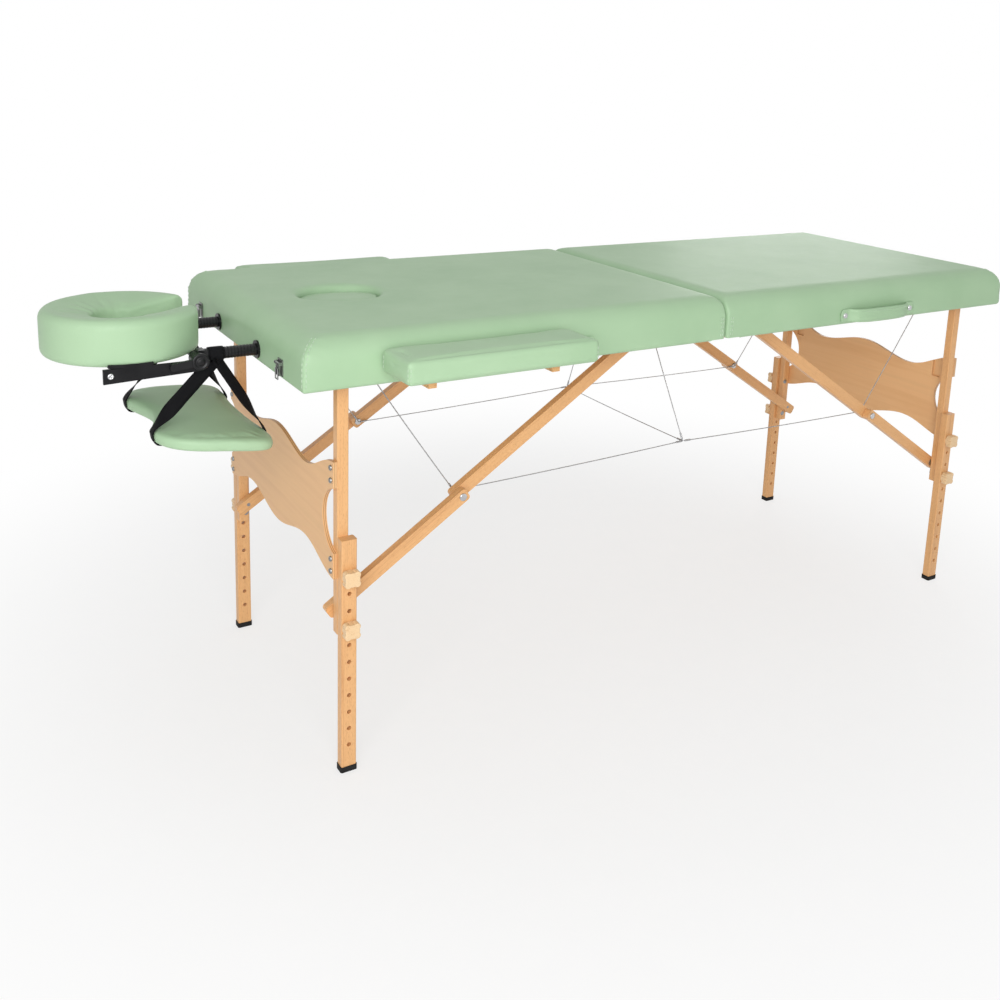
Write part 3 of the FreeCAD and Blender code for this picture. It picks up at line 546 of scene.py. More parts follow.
def run_cloth(pads):
    """Blows up all the pads together and limits how far each point moves."""
    for step in range(1, CLOTH_FRAMES + 1):
        scene.frame_set(step)
    graph = bpy.context.evaluated_depsgraph_get()
    for pad in pads:
        moved = [v.co.copy() for v in pad["piece"].evaluated_get(graph).data.vertices]
        for v, new in zip(pad["piece"].data.vertices, moved):
            d = new - v.co
            d -= min(0.0, d.dot(v.normal)) * v.normal
            cap = pad["cap"](v.co, v.normal)
            if d.length > 1e-7 and cap > 0:
                v.co += d.normalized() * cap * math.tanh(d.length / cap)
    scene.frame_set(1)
    for pad in pads:
        pad["piece"].modifiers.clear()
        pad["piece"].vertex_groups.clear()
        pad["piece"].data.update()


def finish_pad(piece, name, body, replaced):
    """Names and dresses a finished pad, and hides the solids that it stands for."""
    piece.name = name
    piece.data.name = name
    piece.data.materials.clear()
    piece.data.materials.append(MATS["vinyl"])
    for face in piece.data.polygons:
        face.use_smooth = True
    mod = piece.modifiers.new("smooth", "SUBSURF")
    mod.levels = 1
    mod.render_levels = 1
    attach(piece, body)
    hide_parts(*replaced)


def soften(piece, passes, keep):
    """Evens out the remeshed surface; keep holds chosen points."""
    bm = bmesh.new()
    bm.from_mesh(piece.data)
    loose = [v for v in bm.verts if not keep(v.co)]
    for _ in range(passes):
        bmesh.ops.smooth_vert(bm, verts=loose, factor=0.5, use_axis_x=True, use_axis_y=True, use_axis_z=True)
    bm.to_mesh(piece.data)
    bm.free()


def opened_below(piece):
    """Takes away the underside and turns the skin's edge in under the rails, but not at the hinge."""
    level = DECK_Z + 0.006
    turn_in, hinge_strip = 0.016, 0.04
    drop, tuck_drop = 0.003, 0.0034
    low, high = box_of(piece["half"] + "_cover")
    bm = bmesh.new()
    bm.from_mesh(piece.data)
    bm.normal_update()
    gone = [f for f in bm.faces if f.normal.z < -0.7 and f.calc_center_median().z < level]
    bmesh.ops.delete(bm, geom=gone, context="FACES")
    outer = [e for e in bm.edges if e.is_boundary and max(v.co.z for v in e.verts) < level]
    for v in {v for e in outer for v in e.verts}:
        v.co.z = DECK_Z - (0.0 if abs(v.co.x - HINGE_X) < hinge_strip else drop)
    away = [e for e in outer if all(abs(v.co.x - HINGE_X) > hinge_strip for v in e.verts)]
    made = bmesh.ops.extrude_edge_only(bm, edges=away)["geom"]
    for v in (g for g in made if isinstance(g, bmesh.types.BMVert)):
        v.co.x = min(max(v.co.x, low.x + turn_in), high.x - turn_in)
        v.co.y = min(max(v.co.y, low.y + turn_in), high.y - turn_in)
        v.co.z = DECK_Z - tuck_drop
    bm.to_mesh(piece.data)
    bm.free()


def deck_pad(half, low, high, side):
    """Upholstery of one deck half, ready to be blown up."""
    mid_x = high.x if side > 0 else low.x
    hinge_hold, lining, wall_depth = 0.004, 0.004, 0.02
    swell, top_swell, middle_swell, slope_width = 0.0012, 0.0012, 0.0048, 0.16

    def held(co):
        return co.z < DECK_Z + HEM or abs(co.x - mid_x) < hinge_hold

    def cap(co, normal):
        """How far the filling may push out: little at the sides, most in the middle of the top."""
        in_hole = ((co.x - FACE_X) / (FACE_A + lining)) ** 2 + (co.y / (FACE_B + lining)) ** 2 < 1
        if held(co):
            return 0.0
        if in_hole and co.z < DECK_TOP - wall_depth:
            return 0.001
        inward = min(co.x - low.x, high.x - co.x, HALF_WIDTH - abs(co.y))
        share = min(1.0, max(0.0, inward / slope_width))
        rise = top_swell + middle_swell * math.sin(share * math.pi / 2)
        return swell + max(0.0, normal.z) ** 2 * rise

    voxel, passes = 0.006, 4
    deck = remeshed(deck_form(low, high, side, half == "head"), voxel)
    deck["half"] = half
    opened_below(deck)
    soften(deck, passes, held)
    add_cloth(deck, held)
    return {"piece": deck, "cap": cap, "name": f"{half}_upholstery", "body": f"{half}_section",
            "nodes": [f"{half}_cover", f"{half}_foam"], "fill": 0.9}


def cushion_form(inset):
    """Horseshoe pad: a tall wall, a rim, and a top that falls to the opening, which runs out to the table."""
    low, high = box_of("cradle_cushion")
    centre_x = low.x + CUSHION_RADIUS
    outer = CUSHION_RADIUS - inset
    rim, foot, skirt = 0.016, 0.012, 0.007
    opening, slot, slope = 0.05, 0.044, 0.25
    bottom, hem, top = low.z, low.z - skirt, high.z - inset
    start, sweep, rows = 22, 316, 121
    verts = []
    for i in range(rows):
        a = math.radians(start + sweep * i / (rows - 1))
        inner = max(opening, slot / abs(math.sin(a))) if math.cos(a) > 0 else opening
        width = outer - rim - inner
        edge = top - slope * width
        section = [(inner, bottom), (inner, (bottom + edge) / 2), (inner, edge - 0.006),
                   (inner + 0.002, edge - 0.0015)]
        section += [(inner + t * width, edge + t * (top - edge)) for t in (0.08, 0.3, 0.55, 0.8)]
        for step in range(7):
            b = math.radians(90 - 15 * step)
            section.append((outer - rim + rim * math.cos(b), top - rim + rim * math.sin(b)))
        for step in range(5):
            b = math.radians(-22.5 * step)
            section.append((outer - foot + foot * math.cos(b), hem + foot + foot * math.sin(b)))
        hem_in, lip_in = (0.028, 0.03) if inner < outer - 0.034 else (0.014, 0.015)
        section += [(outer - hem_in, hem), (outer - lip_in, bottom)]
        verts += [(centre_x + r * math.cos(a), r * math.sin(a), z) for r, z in section]
    sides = len(section)
    faces = grid_faces(rows, sides)
    faces += [tuple(range(sides)), tuple(range(len(verts) - sides, len(verts)))]
    data = bpy.data.meshes.new("cushion")
    data.from_pydata(verts, [], faces)
    bm = bmesh.new()
    bm.from_mesh(data)
    bmesh.ops.recalc_face_normals(bm, faces=bm.faces)
    bm.to_mesh(data)
    bm.free()
    return linked("cushion", data)


def small_pad(node, name, body, inset, voxel, swell, passes, fill):
    """One of the smaller pads, ready to be blown up; its underside stays put."""
    form = cushion_form(inset) if node == "cradle_cushion" else shrunk_copy(node, inset)
    pad = remeshed(form, voxel)
    floor_z = min(v.co.z for v in pad.data.vertices)

    def held(co):
        return co.z < floor_z + 0.004

    def cap(co, _):
        return swell * min(1.0, (co.z - floor_z) / 0.01)

    soften(pad, passes, held)
    add_cloth(pad, held)
    return {"piece": pad, "cap": cap, "name": name, "body": body, "nodes": [node], "fill": fill}


# Node, piece, body, inset, voxel, swell, smoothing passes, filling
SMALL = [
    ("cradle_cushion", "face_cushion", "cradle_head", 0.003, 0.0034, 0.003, 1, 0.8),
    ("arm_shelf", "shelf_pad", "arm_shelf", 0.002, 0.004, 0.004, 3, 0.7),
    ("near_armrest", "near_armrest_pad", "near_armrest", 0.002, 0.004, 0.004, 1, 0.85),
    ("far_armrest", "far_armrest_pad", "far_armrest", 0.002, 0.004, 0.004, 1, 0.85),
    ("face_plug", "face_plug_pad", "face_plug", 0.002, 0.004, 0.003, 3, 0.8),
]
pads = [deck_pad("head", DECK_LOW, DECK_HIGH, 1), deck_pad("foot", FOOT_LOW, FOOT_HIGH, -1)]
pads += [small_pad(*row) for row in SMALL]
run_cloth(pads)


def bowl_creases(piece):
    """Shallow radial folds where the cover is drawn into the bowl of the face cushion."""
    low, high = box_of("cradle_cushion")
    centre = Vector((low.x + CUSHION_RADIUS, 0, high.z))
    limit, ring, spread, depth = 0.108, 0.066, 0.036, 0.0017
    for v in piece.data.vertices:
        rel = v.co - centre
        radius = math.hypot(rel.x, rel.y)
        if v.normal.z < 0.15 or radius > limit:
            continue
        a = math.atan2(rel.y, rel.x)
        fold = math.sin(17 * a + 2.2 * math.sin(3 * a)) * (0.6 + 0.4 * math.sin(5 * a + 1))
        reach = max(0.0, 1 - abs(radius - ring) / spread)
        v.co += v.normal * depth * fold * reach


def corner_gathers(piece, centre, diagonal):
    """Small ripples beside a corner seam, where the stitches draw the cover in."""
    side = Vector((-diagonal.y, diagonal.x, 0))
    reach, breadth, foot = -0.1, 0.09, 0.012
    length, depth, fade = 0.027, 0.0003, 0.03
    for v in piece.data.vertices:
        rel = v.co - centre
        out = rel.dot(diagonal)
        beside = abs(rel.dot(side))
        if out > reach and beside < breadth and v.co.z > DECK_Z + foot:
            wave = math.sin(2 * math.pi * (v.co.z - out) / length)
            v.co += v.normal * depth * wave * math.exp(-beside / fade)


def deck_corners(half):
    """Place and outward direction of the two outer corners of one deck half."""
    low, high = box_of(half + "_cover")
    side = 1 if half == "head" else -1
    end_x = low.x if side > 0 else high.x
    for label, sy in SIDES:
        yield label, Vector((end_x, sy * HALF_WIDTH, 0)), Vector((-side, sy, 0)).normalized()


def plug_lean(piece):
    """Lowers the loose plug's top: not at all on its near side, and most on its far side."""
    for v in piece.data.vertices:
        level = min(1.0, max(0.0, (v.co.z - PLUG_LOW.z) / (PLUG_HIGH.z - PLUG_LOW.z)))
        v.co.z -= level * PLUG_DROP * (0.5 + 0.5 * v.co.y / FACE_B)


def shelf_lean(x):
    """How much the hanging shelf stands above or below its level place: its back edge is lower."""
    return -SHELF_SLOPE * (x - SHELF_MID.x)


def shelf_droop(piece):
    """Leans the shelf and draws out its two back corners."""
    half = (SHELF_HIGH - SHELF_LOW) / 2
    for v in piece.data.vertices:
        back = max(0.0, (v.co.x - SHELF_MID.x) / half.x)
        side = v.co.y / half.y
        reach = SHELF_CORNER * back ** 1.5 * side * side
        v.co += Vector((reach, math.copysign(reach, side), shelf_lean(v.co.x) - 0.3 * reach))


SHAPED = {"face_cushion": bowl_creases, "shelf_pad": shelf_droop, "face_plug_pad": plug_lean}
trees = {}
for pad in pads:
    piece = pad["piece"]
    if pad["name"] in SHAPED:
        SHAPED[pad["name"]](piece)
    if "half" in piece:
        for _, centre, diagonal in deck_corners(piece["half"]):
            corner_gathers(piece, centre, diagonal)
    finish_pad(piece, pad["name"], pad["body"], pad["nodes"])
    bpy.context.view_layer.update()
    trees[pad["name"]] = BVHTree.FromObject(piece, bpy.context.evaluated_depsgraph_get())


# Seams: a welt and two rows of stitches along a line found on the surface

def on_surface(tree, origin, target):
    hit, normal, _, _ = tree.ray_cast(Vector(origin), (Vector(target) - Vector(origin)).normalized())
    return hit, normal


def stitch(at, along, out):
    """One thread stitch lying on a surface."""
    half, rise, thread = 0.0026, 0.0005, 0.0007
    return tube([at - half * along, at - half / 2 * along + rise * out,
                 at + half / 2 * along + rise * out, at + half * along], thread, 6)


def seam(name, tree, rays, body, gap=0.0036, pitch=0.0085, welt=0.0011):
    """Each ray is a point outside the piece and a point inside it; the seam faces along the rays."""
    points = []
    for origin, target in rays:
        hit, _ = on_surface(tree, origin, target)
        if hit:
            points.append((hit, (origin - target).normalized()))
    stitches = []
    for row in (-1, 1):
        walked = 0.0
        for (p, n), (q, _) in zip(points, points[1:]):
            along = (q - p).normalized()
            side = along.cross(n).normalized()
            walked += (q - p).length
            if walked >= pitch:
                walked = 0.0
                at, out, _, _ = tree.ray_cast(p + row * gap * side + 0.01 * n, -n)
                if at:
                    stitches.append(stitch(at, along, out))
    line = tube([p - 0.2 * welt * n for p, n in points], welt, 8)
    welt_piece = mesh_piece(name, *line, "vinyl", body)
    threads = mesh_piece(name + "_stitches", *joined(stitches), "thread", body)


SEAM_FOOT = DECK_Z + 0.003
RAY_START = 0.3

# Corner seams of the deck: up the corner and over its rounding
UPRIGHT_RAYS, TURN_RAYS, TURN_STEP = 26, 46, math.radians(1.5)
for half, _ in HALVES:
    for label, corner, diagonal in deck_corners(half):
        spring = DECK_TOP - CROWN - ROUNDING
        turn = corner - ROUNDING * math.sqrt(2) * diagonal + Vector((0, 0, spring))
        rays = []
        for i in range(UPRIGHT_RAYS):
            z = SEAM_FOOT + (spring - SEAM_FOOT) * i / UPRIGHT_RAYS
            target = Vector((turn.x, turn.y, z))
            rays.append((target + RAY_START * diagonal, target))
        for i in range(TURN_RAYS):
            a = TURN_STEP * i
            out = math.cos(a) * diagonal + Vector((0, 0, math.sin(a)))
            rays.append((turn + RAY_START * out, turn))
        seam(f"{half}_{label}_corner_seam", trees[half + "_upholstery"], rays, half + "_section")

# Short upright seams beside the hinge
HINGE_SEAM_X, HINGE_SEAM_STEP, HINGE_SEAM_RAYS = 0.014, 0.0017, 27
for half, side in HALVES:
    for label, sy in SIDES:
        x = HINGE_X + side * HINGE_SEAM_X
        levels = [SEAM_FOOT + HINGE_SEAM_STEP * i for i in range(HINGE_SEAM_RAYS)]
        rays = [(Vector((x, sy * 2 * RAY_START, z)), Vector((x, 0, z))) for z in levels]
        seam(f"{half}_{label}_hinge_seam", trees[half + "_upholstery"], rays, half + "_section",
             gap=0.0024, pitch=0.0078, welt=0.0008)

# Upright seams at the armrests' corners
ARMREST_CORE, ARMREST_SEAM_STEP, ARMREST_SEAM_RAYS = 0.02, 0.0014, 20
for label, sy in SIDES:
    low, high = box_of(label + "_armrest")
    for name, sx, end_x in (("head", -1, low.x), ("foot", 1, high.x)):
        for edge, ey in (("outer", sy), ("inner", -sy)):
            y = high.y if ey > 0 else low.y
            diagonal = Vector((sx, ey, 0)).normalized()
            core = Vector((end_x - sx * ARMREST_CORE, y - ey * ARMREST_CORE, 0))
            rays = []
            for i in range(ARMREST_SEAM_RAYS):
                target = core + Vector((0, 0, low.z + 0.006 + ARMREST_SEAM_STEP * i))
                rays.append((target + 4 * ARMREST_CORE * diagonal, target))
            seam(f"{label}_armrest_{name}_{edge}_seam", trees[label + "_armrest_pad"], rays,
                 label + "_armrest", gap=0.0024, pitch=0.0075, welt=0.0008)

# Piping round the face plug
PIPING_INSET, PIPING_RADIUS, PIPING_STEPS = 0.0065, 0.0017, 96
piping = []
for i in range(PIPING_STEPS + 1):
    a = 2 * math.pi * i / PIPING_STEPS
    spot = Vector((FACE_X + (FACE_A - PIPING_INSET) * math.cos(a),
                   (FACE_B - PIPING_INSET) * math.sin(a), PLUG_LOW.z))
    piping.append(on_surface(trees["face_plug_pad"], spot + Vector((0, 0, 0.2)), spot)[0])
mesh_piece("face_plug_piping", *tube(piping, PIPING_RADIUS, 10), "vinyl", "face_plug")


# Carry handles: padded vinyl straps pinched flat under a screw at each end

def carry_handle(half):
    """Strap between two screws; it stands off the deck in its middle part."""
    low, high = box_of(half + "_handle")
    body = half + "_section"
    middle_x = (low.x + high.x) / 2
    z = (low.z + high.z) / 2 - 0.002
    bulge = 0.7 * (high.y - low.y - 0.0045)
    pad = 0.0012 if half == "head" else 0.0042
    wall = -HALF_WIDTH - 0.0012
    reach, pinch = 0.125, 0.78

    def half_thickness(s):
        return 0.0014 + pad * min(1.0, max(0.0, (pinch - abs(s)) / 0.12)) ** 0.7

    def stand_off(s):
        return bulge * max(0.0, 1 - (abs(s) / pinch) ** 4)

    rows, sides, squareness = 61, 40, 0.6
    verts = []
    for i in range(rows):
        s = -1 + 2 * i / (rows - 1)
        thick = half_thickness(s)
        tall = 0.0148 + 0.0012 * math.cos(math.pi * s / 1.6)
        ends = max(0.15, min(1.0, (1 - abs(s)) / 0.03) ** 0.5)
        for j in range(sides):
            a = 2 * math.pi * j / sides
            c, d = math.cos(a), math.sin(a)
            px = math.copysign(abs(c) ** squareness, c)
            pz = math.copysign(abs(d) ** squareness, d)
            crease = 0.45 * thick * math.exp(-(pz / 0.34) ** 2) if c < 0 else 0.0
            y = wall - thick - stand_off(s) + thick * px + crease
            verts.append((middle_x + reach * s, y, z + tall * pz * ends))
    faces = grid_faces(rows, sides) + end_caps(len(verts), sides)
    strap = mesh_piece(half + "_handle_strap", verts, faces, "vinyl", body)
    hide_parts(half + "_handle")
    threads = []
    sewn, count, stitch_half = 0.7, 34, 0.0016
    for level in (-0.0108, 0.0108):
        for i in range(count):
            s = -sewn + 2 * sewn * i / (count - 1)
            y = wall - 2 * half_thickness(s) - stand_off(s) + 0.0002
            at = Vector((middle_x + reach * s, y, z + level))
            along = Vector((stitch_half, 0, 0))
            threads.append(tube([at - along, at - Vector((0, 0.0003, 0)), at + along], 0.00045, 6))
    mesh_piece(half + "_handle_stitches", *joined(threads), "thread", body)
    heads = [screw_head((middle_x + s * 0.111, wall - 0.0028, z), (0, -1, 0), 0.0066, 0.003)
             for s in (-1, 1)]
    mesh_piece(half + "_handle_screws", *joined(heads), "chrome", body)


carry_handle("head")
carry_handle("foot")


# Shelf straps: webbing looped over each post, its tails sewn round the shelf's edge

RIBBON_SECTION = ((-1, -1), (-0.5, -1), (0, -1), (0.5, -1), (1, -1),
                  (1, 1), (0.5, 1), (0, 1), (-0.5, 1), (-1, 1))


def ribbon(path, widths, thickness):
    """Flat tape through points, each with the direction of its width."""
    verts, uvs = [], []
    run = 0.0
    for i, (p, w) in enumerate(zip(path, widths)):
        if i:
            run += (p - path[i - 1]).length
        n = tangent(path, i).cross(w).normalized()
        half = w.length / 2
        for u, v in RIBBON_SECTION:
            edge = 0.6 if abs(u) == 1 else 1.0
            verts.append(p + w.normalized() * half * u + n * thickness / 2 * v * edge)
            uvs.append((half * u, run))
    sides = len(RIBBON_SECTION)
    return verts, grid_faces(len(path), sides) + end_caps(len(verts), sides), uvs


def smooth_path(points, steps):
    """Points along a soft curve through the given ones."""
    out = []
    for i in range(len(points) - 1):
        a = points[max(i - 1, 0)]
        b = points[i]
        c = points[i + 1]
        d = points[min(i + 2, len(points) - 1)]
        for k in range(steps):
            t = k / steps
            out.append(0.5 * (2 * b + (c - a) * t + (2 * a - 5 * b + 4 * c - d) * t * t
                              + (3 * b - a - 3 * c + d) * t ** 3))
    out.append(points[-1])
    return out


POST_Y = 0.12
POST_Z = DECK_Z + 0.021
LOOP_RADIUS = 0.0124
APEX_X = HEAD_END - 0.078
STRAP_WIDTH = 0.027
STRAP_THICKNESS = 0.0016


def shelf_edge(y, way, z):
    """The shelf pad's front or back edge at a place across the table."""
    hit, _ = on_surface(trees["shelf_pad"], (SHELF_MID.x + way * 0.4, y, z), (SHELF_MID.x, y, z))
    return hit.x


def strap_tail(sy, way, foot_y):
    """A tail from the loop down to the shelf, round its edge and in under it."""
    y = sy * foot_y
    edge = shelf_edge(y, way, SHELF_MID.z + shelf_lean(SHELF_MID.x + way * 0.085))

    def at_shelf(inset, z):
        """A point of the tail, by its distance in from the shelf's edge."""
        x = edge - way * inset
        return Vector((x, y, z + shelf_lean(x)))

    top_y = POST_Y + (0.0013 if way < 0 else -0.0007)
    top = Vector((APEX_X + way * 0.004, sy * top_y, POST_Z - 0.0135))
    brink = at_shelf(0.002, SHELF_HIGH.z - 0.001)
    steps = 10
    path = smooth_path([
        top + Vector((-way * 0.002, 0, 0.006)), top, top.lerp(brink, 0.35), top.lerp(brink, 0.7), brink,
        at_shelf(-0.0014, SHELF_MID.z), at_shelf(0.005, SHELF_LOW.z - 0.0004),
        at_shelf(0.03, SHELF_LOW.z - 0.0013), at_shelf(0.06, SHELF_LOW.z - 0.0013)], steps)
    flat = (brink - top).cross(Vector((0, 1, 0))).normalized() * way
    first, aim = (0.0, 1) if way < 0 and sy < 0 else (0.45, way)
    widths = []
    for i in range(len(path)):
        turn = min(1.0, max(0.0, (i / steps - 2.5) / 1.5))
        turn = first + (1 - first) * turn * turn * (3 - 2 * turn)
        angle = turn * math.pi / 2
        t = tangent(path, i)
        w = flat * math.cos(angle) + Vector((0, aim, 0)) * math.sin(angle)
        widths.append((w - t * t.dot(w)).normalized() * STRAP_WIDTH * (1 - 0.12 * turn))
    return ribbon(path, widths, STRAP_THICKNESS)


def shelf_strap(label, sy):
    """A loop over the post and two tails, which twist to lie flat round the shelf's edges."""
    ring = []
    for i in range(41):
        a = math.radians(-90 + 9 * i)
        ring.append(Vector((APEX_X, sy * POST_Y + LOOP_RADIUS * math.cos(a),
                            POST_Z + LOOP_RADIUS * math.sin(a))))
    parts = [ribbon(ring, [Vector((STRAP_WIDTH, 0, 0))] * len(ring), STRAP_THICKNESS)]
    parts += [strap_tail(sy, way, foot_y) for way, foot_y in ((-1, 0.108), (1, 0.122))]
    verts, faces = joined([(v, f) for v, f, _ in parts])
    uvs = [uv for _, _, u in parts for uv in u]
    piece = mesh_piece(label + "_shelf_strap", verts, faces, "webbing", "arm_shelf", uvs)
    return piece


straps = [shelf_strap("near", -1), shelf_strap("far", 1)]
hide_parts("arm_shelf_straps")


# Tie cables: thin steel rope from the deck to the brace joints and between them

CABLE_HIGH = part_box("head_cables")[1]
CABLE_Y = CABLE_HIGH[1] - 0.003
CABLE_TOP = CABLE_HIGH[2]
BRACE_X, BRACE_Z = 0.58767, 0.487908  # the brace joints: distance from the hinge, and height
ANCHOR_X = 0.81  # the deck anchors' distance from the hinge
SPAN_Z = BRACE_Z + 0.012  # the cables' height under the hinge
RAIL_X, RAIL_Y = 0.0272, 0.09  # where the cables meet the middle rail
SAG, ANCHOR_SAG = 0.002, 0.003


def cable_run(half, spans):
    """Sagging cables between pairs of points, with a ferrule at each end, as one piece."""
    steps = 24
    parts = []
    for a, b, dip in spans:
        a, b = Vector(a), Vector(b)
        line = []
        for i in range(steps + 1):
            t = i / steps
            line.append(a.lerp(b, t) - Vector((0, 0, dip * 4 * t * (1 - t))))
        parts.append(tube(line, 0.0011, 8))
        along = (b - a).normalized()
        for end, way in ((a, along), (b, -along)):
            parts.append(tube([end + d * way for d in (0.004, 0.006, 0.018, 0.019)], 0.0021, 10))
    piece = mesh_piece(half + "_tie_cables", *joined(parts), "cable", half + "_section")
    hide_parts(half + "_cables")
    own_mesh(piece)


for half, side in HALVES:
    spans = []
    for sy in (-1, 1):
        y = sy * CABLE_Y
        joint = (HINGE_X + side * BRACE_X, y, BRACE_Z)
        spans.append(((HINGE_X + side * ANCHOR_X, y, CABLE_TOP), joint, ANCHOR_SAG))
        if half == "head":
            centre = (HINGE_X, y, SPAN_Z)
            spans.append((joint, centre, SAG))
            spans.append((centre, (HINGE_X - RAIL_X, sy * RAIL_Y, CABLE_TOP), SAG))
        else:
            spans.append((joint, (HINGE_X + 0.0033, y, SPAN_Z), SAG))
    if half == "head":
        spans.append(((HINGE_X, -CABLE_Y, SPAN_Z), (HINGE_X, CABLE_Y, SPAN_Z), SAG))
    cable_run(half, spans)


# Heads and caps: brace rivets, panel screws, the cradle's bolts and its lever's cap

RIVET = [(0.0078, -0.0005), (0.0078, 0.0024), (0.0073, 0.00306), (0.0045, 0.0033), (0.0, 0.0033)]
RIVET_SINK = 0.003
PANEL_SCREW_Y = 0.2913
PANEL_SCREW_ROWS = (0.589, 0.413)
PANEL_SCREW_STEP = 0.012

for half, side in HALVES:
    joint_x = HINGE_X + side * BRACE_X
    for label, sy in SIDES:
        key = f"{half}_{label}"
        low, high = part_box(key + "_lower_strut")
        y = (low if sy < 0 else high)[1] - sy * RIVET_SINK
        head = lathe((joint_x, y, BRACE_Z), (0, sy, 0), RIVET)
        mesh_piece(key + "_rivet_outer", *head, "chrome", key + "_lower_strut")
        low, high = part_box(key + "_upper_strut")
        y = sy * (min(abs(low[1]), abs(high[1])) + RIVET_SINK)
        head = screw_head((joint_x, y, BRACE_Z), (0, -sy, 0), 0.0082, 0.0046, False)
        mesh_piece(key + "_rivet_inner", *head, "chrome", key + "_upper_strut")
    low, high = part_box(half + "_panel")
    x = (low if side < 0 else high)[0] + side * 0.0012
    heads = []
    for sy in (-1, 1):
        for row in PANEL_SCREW_ROWS:
            for s in (-1, 1):
                at = (x, sy * PANEL_SCREW_Y, row + s * PANEL_SCREW_STEP)
                heads.append(screw_head(at, (side, 0, 0), 0.0053, 0.0026))
    piece = mesh_piece(half + "_panel_screw_heads", *joined(heads), "steel", half + "_legs")

TILT_X = HEAD_END - 0.111
ARM_TIP = TILT_X - 0.163
ARM_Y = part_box("cradle_platform")[1][1]
heads = []
for sy in (-1, 1):
    at = (ARM_TIP + 0.012, sy * (ARM_Y - 0.0002), DECK_Z + 0.004)
    heads.append(screw_head(at, (0, sy, 0), 0.0058, 0.0035))
mesh_piece("cradle_arm_bolts", *joined(heads), "chrome", "cradle_head")

LEVER_CAP = [(0.0152, -0.002), (0.0153, 0.001), (0.0146, 0.0019), (0.0108, 0.0019), (0.0101, 0.0009),
             (0.0068, 0.0009), (0.0063, 0.0028), (0.0048, 0.0035), (0.0002, 0.0037)]
cap_at = (TILT_X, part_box("cradle_lever")[0][1], DECK_Z + 0.015)
cap = mesh_piece("tilt_lever_cap", *lathe(cap_at, (0, -1, 0), LEVER_CAP), "plastic", "cradle_lever")

# Soft edges on the solids that show as they are
BROAD_EDGE = ("_panel", "_bars", "_platform")
FINE_EDGE = ("_lever", "_bases", "_strikes")
for node_name, node in nodes.items():
    if node_name.endswith(BROAD_EDGE + FINE_EDGE):
        mod = node.modifiers.new("edge", "BEVEL")
        mod.width = 0.0012 if node_name.endswith(BROAD_EDGE) else 0.0004
        mod.segments = 2
        mod.limit_method = "ANGLE"
    mod = node.modifiers.new("shade", "WEIGHTED_NORMAL")
    mod.keep_sharp = True
    node.data.set_sharp_from_angle(angle=math.radians(32))


# Floor, light and camera

def seen_straight(tree):
    """1 where the camera or a mirror looks straight at something, else 0."""
    path = put(tree, "LightPath")
    return calc(tree, "MAXIMUM", path.outputs["Is Camera Ray"], path.outputs["Is Glossy Ray"])


def floor_material():
    """Pale floor that fades out to the white surroundings."""
    mat, tree, shader = material("floor", (0.9, 0.9, 0.9), 0.7)
    coords = put(tree, "TexCoord").outputs["Object"]
    tones = [(0.3, (0.9, 0.9, 0.9)), (0.7, (0.92, 0.92, 0.92))]
    wire(tree, shader, {"Base Color": ramp(tree, cloud(tree, coords, 14.0), tones)})
    glow = put(tree, "Emission", Strength=1.0, Color=(1, 1, 1, 1))
    away = put(tree, "VectorMath", {0: coords}, operation="LENGTH")
    fade = put(tree, "MapRange", {"Value": away.outputs["Value"]}, interpolation_type="SMOOTHSTEP",
               From_Min=0.7, From_Max=1.9, To_Min=0.66)
    share = calc(tree, "MULTIPLY", fade.outputs["Result"], seen_straight(tree))
    mix = put(tree, "MixShader", {"Fac": share, 1: shader.outputs["BSDF"], 2: glow.outputs["Emission"]})
    wire(tree, tree.nodes["Material Output"], {"Surface": mix.outputs["Shader"]})
    return mat


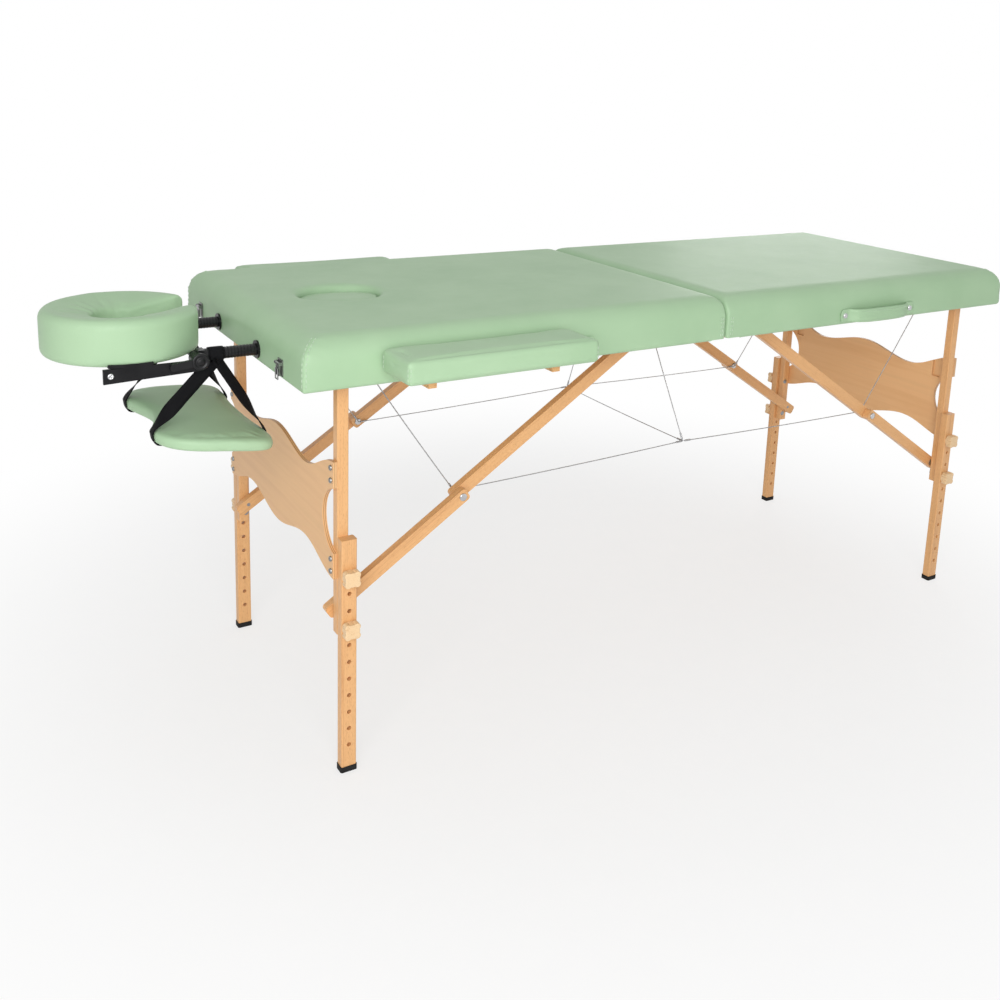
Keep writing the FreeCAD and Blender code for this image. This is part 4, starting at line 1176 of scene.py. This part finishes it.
MATS["floor"] = floor_material()
REACH = 6
corners = [(-REACH, -REACH, 0), (REACH, -REACH, 0), (REACH, REACH, 0), (-REACH, REACH, 0)]
floor = mesh_piece("floor", corners, [(0, 1, 2, 3)], "floor", None)

# White surroundings, which give less light than they show
world = bpy.data.worlds.new("surroundings")
scene.world = world
world.use_nodes = True
sky = world.node_tree
back = sky.nodes["Background"]
tune(back, Color=(1, 1, 1, 1))
wire(sky, back, {"Strength": span(sky, seen_straight(sky), 0.42, 1.0)})


def lamp(name, at, to, size, power):
    """An oblong lamp turned to a point."""
    data = bpy.data.lights.new(name, "AREA")
    data.shape = "RECTANGLE"
    data.size, data.size_y = size
    data.energy = power
    light = bpy.data.objects.new(name, data)
    light.location = at
    light.rotation_euler = (Vector(to) - Vector(at)).to_track_quat("-Z", "Y").to_euler()
    scene.collection.objects.link(light)


lamp("front", (-2.0, -3.1, 1.8), (0.0, 0.0, 0.6), (3.0, 2.4), 95)
lamp("overhead", (0.4, 0.3, 3.4), (0.1, 0.0, 0.7), (3.4, 2.6), 8)
lamp("back", (3.0, 2.25, 1.34), (0.75, 0.1, 0.85), (1.3, 0.8), 9)

# The photo's camera: its place, turns, focal length in pixels and off-centre picture
CAMERA_AT = (HINGE_X - 1.574, -2.064, 1.322)
FOCAL_PIXELS, PICTURE_PIXELS = 1102, 1000
SENSOR = 36.0
yaw, pitch, roll = (math.radians(a) for a in (33.25, 11.98, -2.37))
level = Vector((math.sin(yaw), math.cos(yaw), 0))
forward = math.cos(pitch) * level - Vector((0, 0, math.sin(pitch)))
right = Vector((math.cos(yaw), -math.sin(yaw), 0))
down = forward.cross(right)
across = math.cos(roll) * right + math.sin(roll) * down
below = -math.sin(roll) * right + math.cos(roll) * down
lens = bpy.data.cameras.new("camera")
lens.sensor_width = SENSOR
lens.lens = FOCAL_PIXELS * SENSOR / PICTURE_PIXELS
lens.shift_x = -0.05
lens.shift_y = -0.20
camera = bpy.data.objects.new("camera", lens)
turned = Matrix((across, -below, -forward)).transposed().to_4x4()
camera.matrix_world = Matrix.Translation(CAMERA_AT) @ turned
scene.collection.objects.link(camera)
scene.camera = camera
scene.view_settings.view_transform = "Standard"
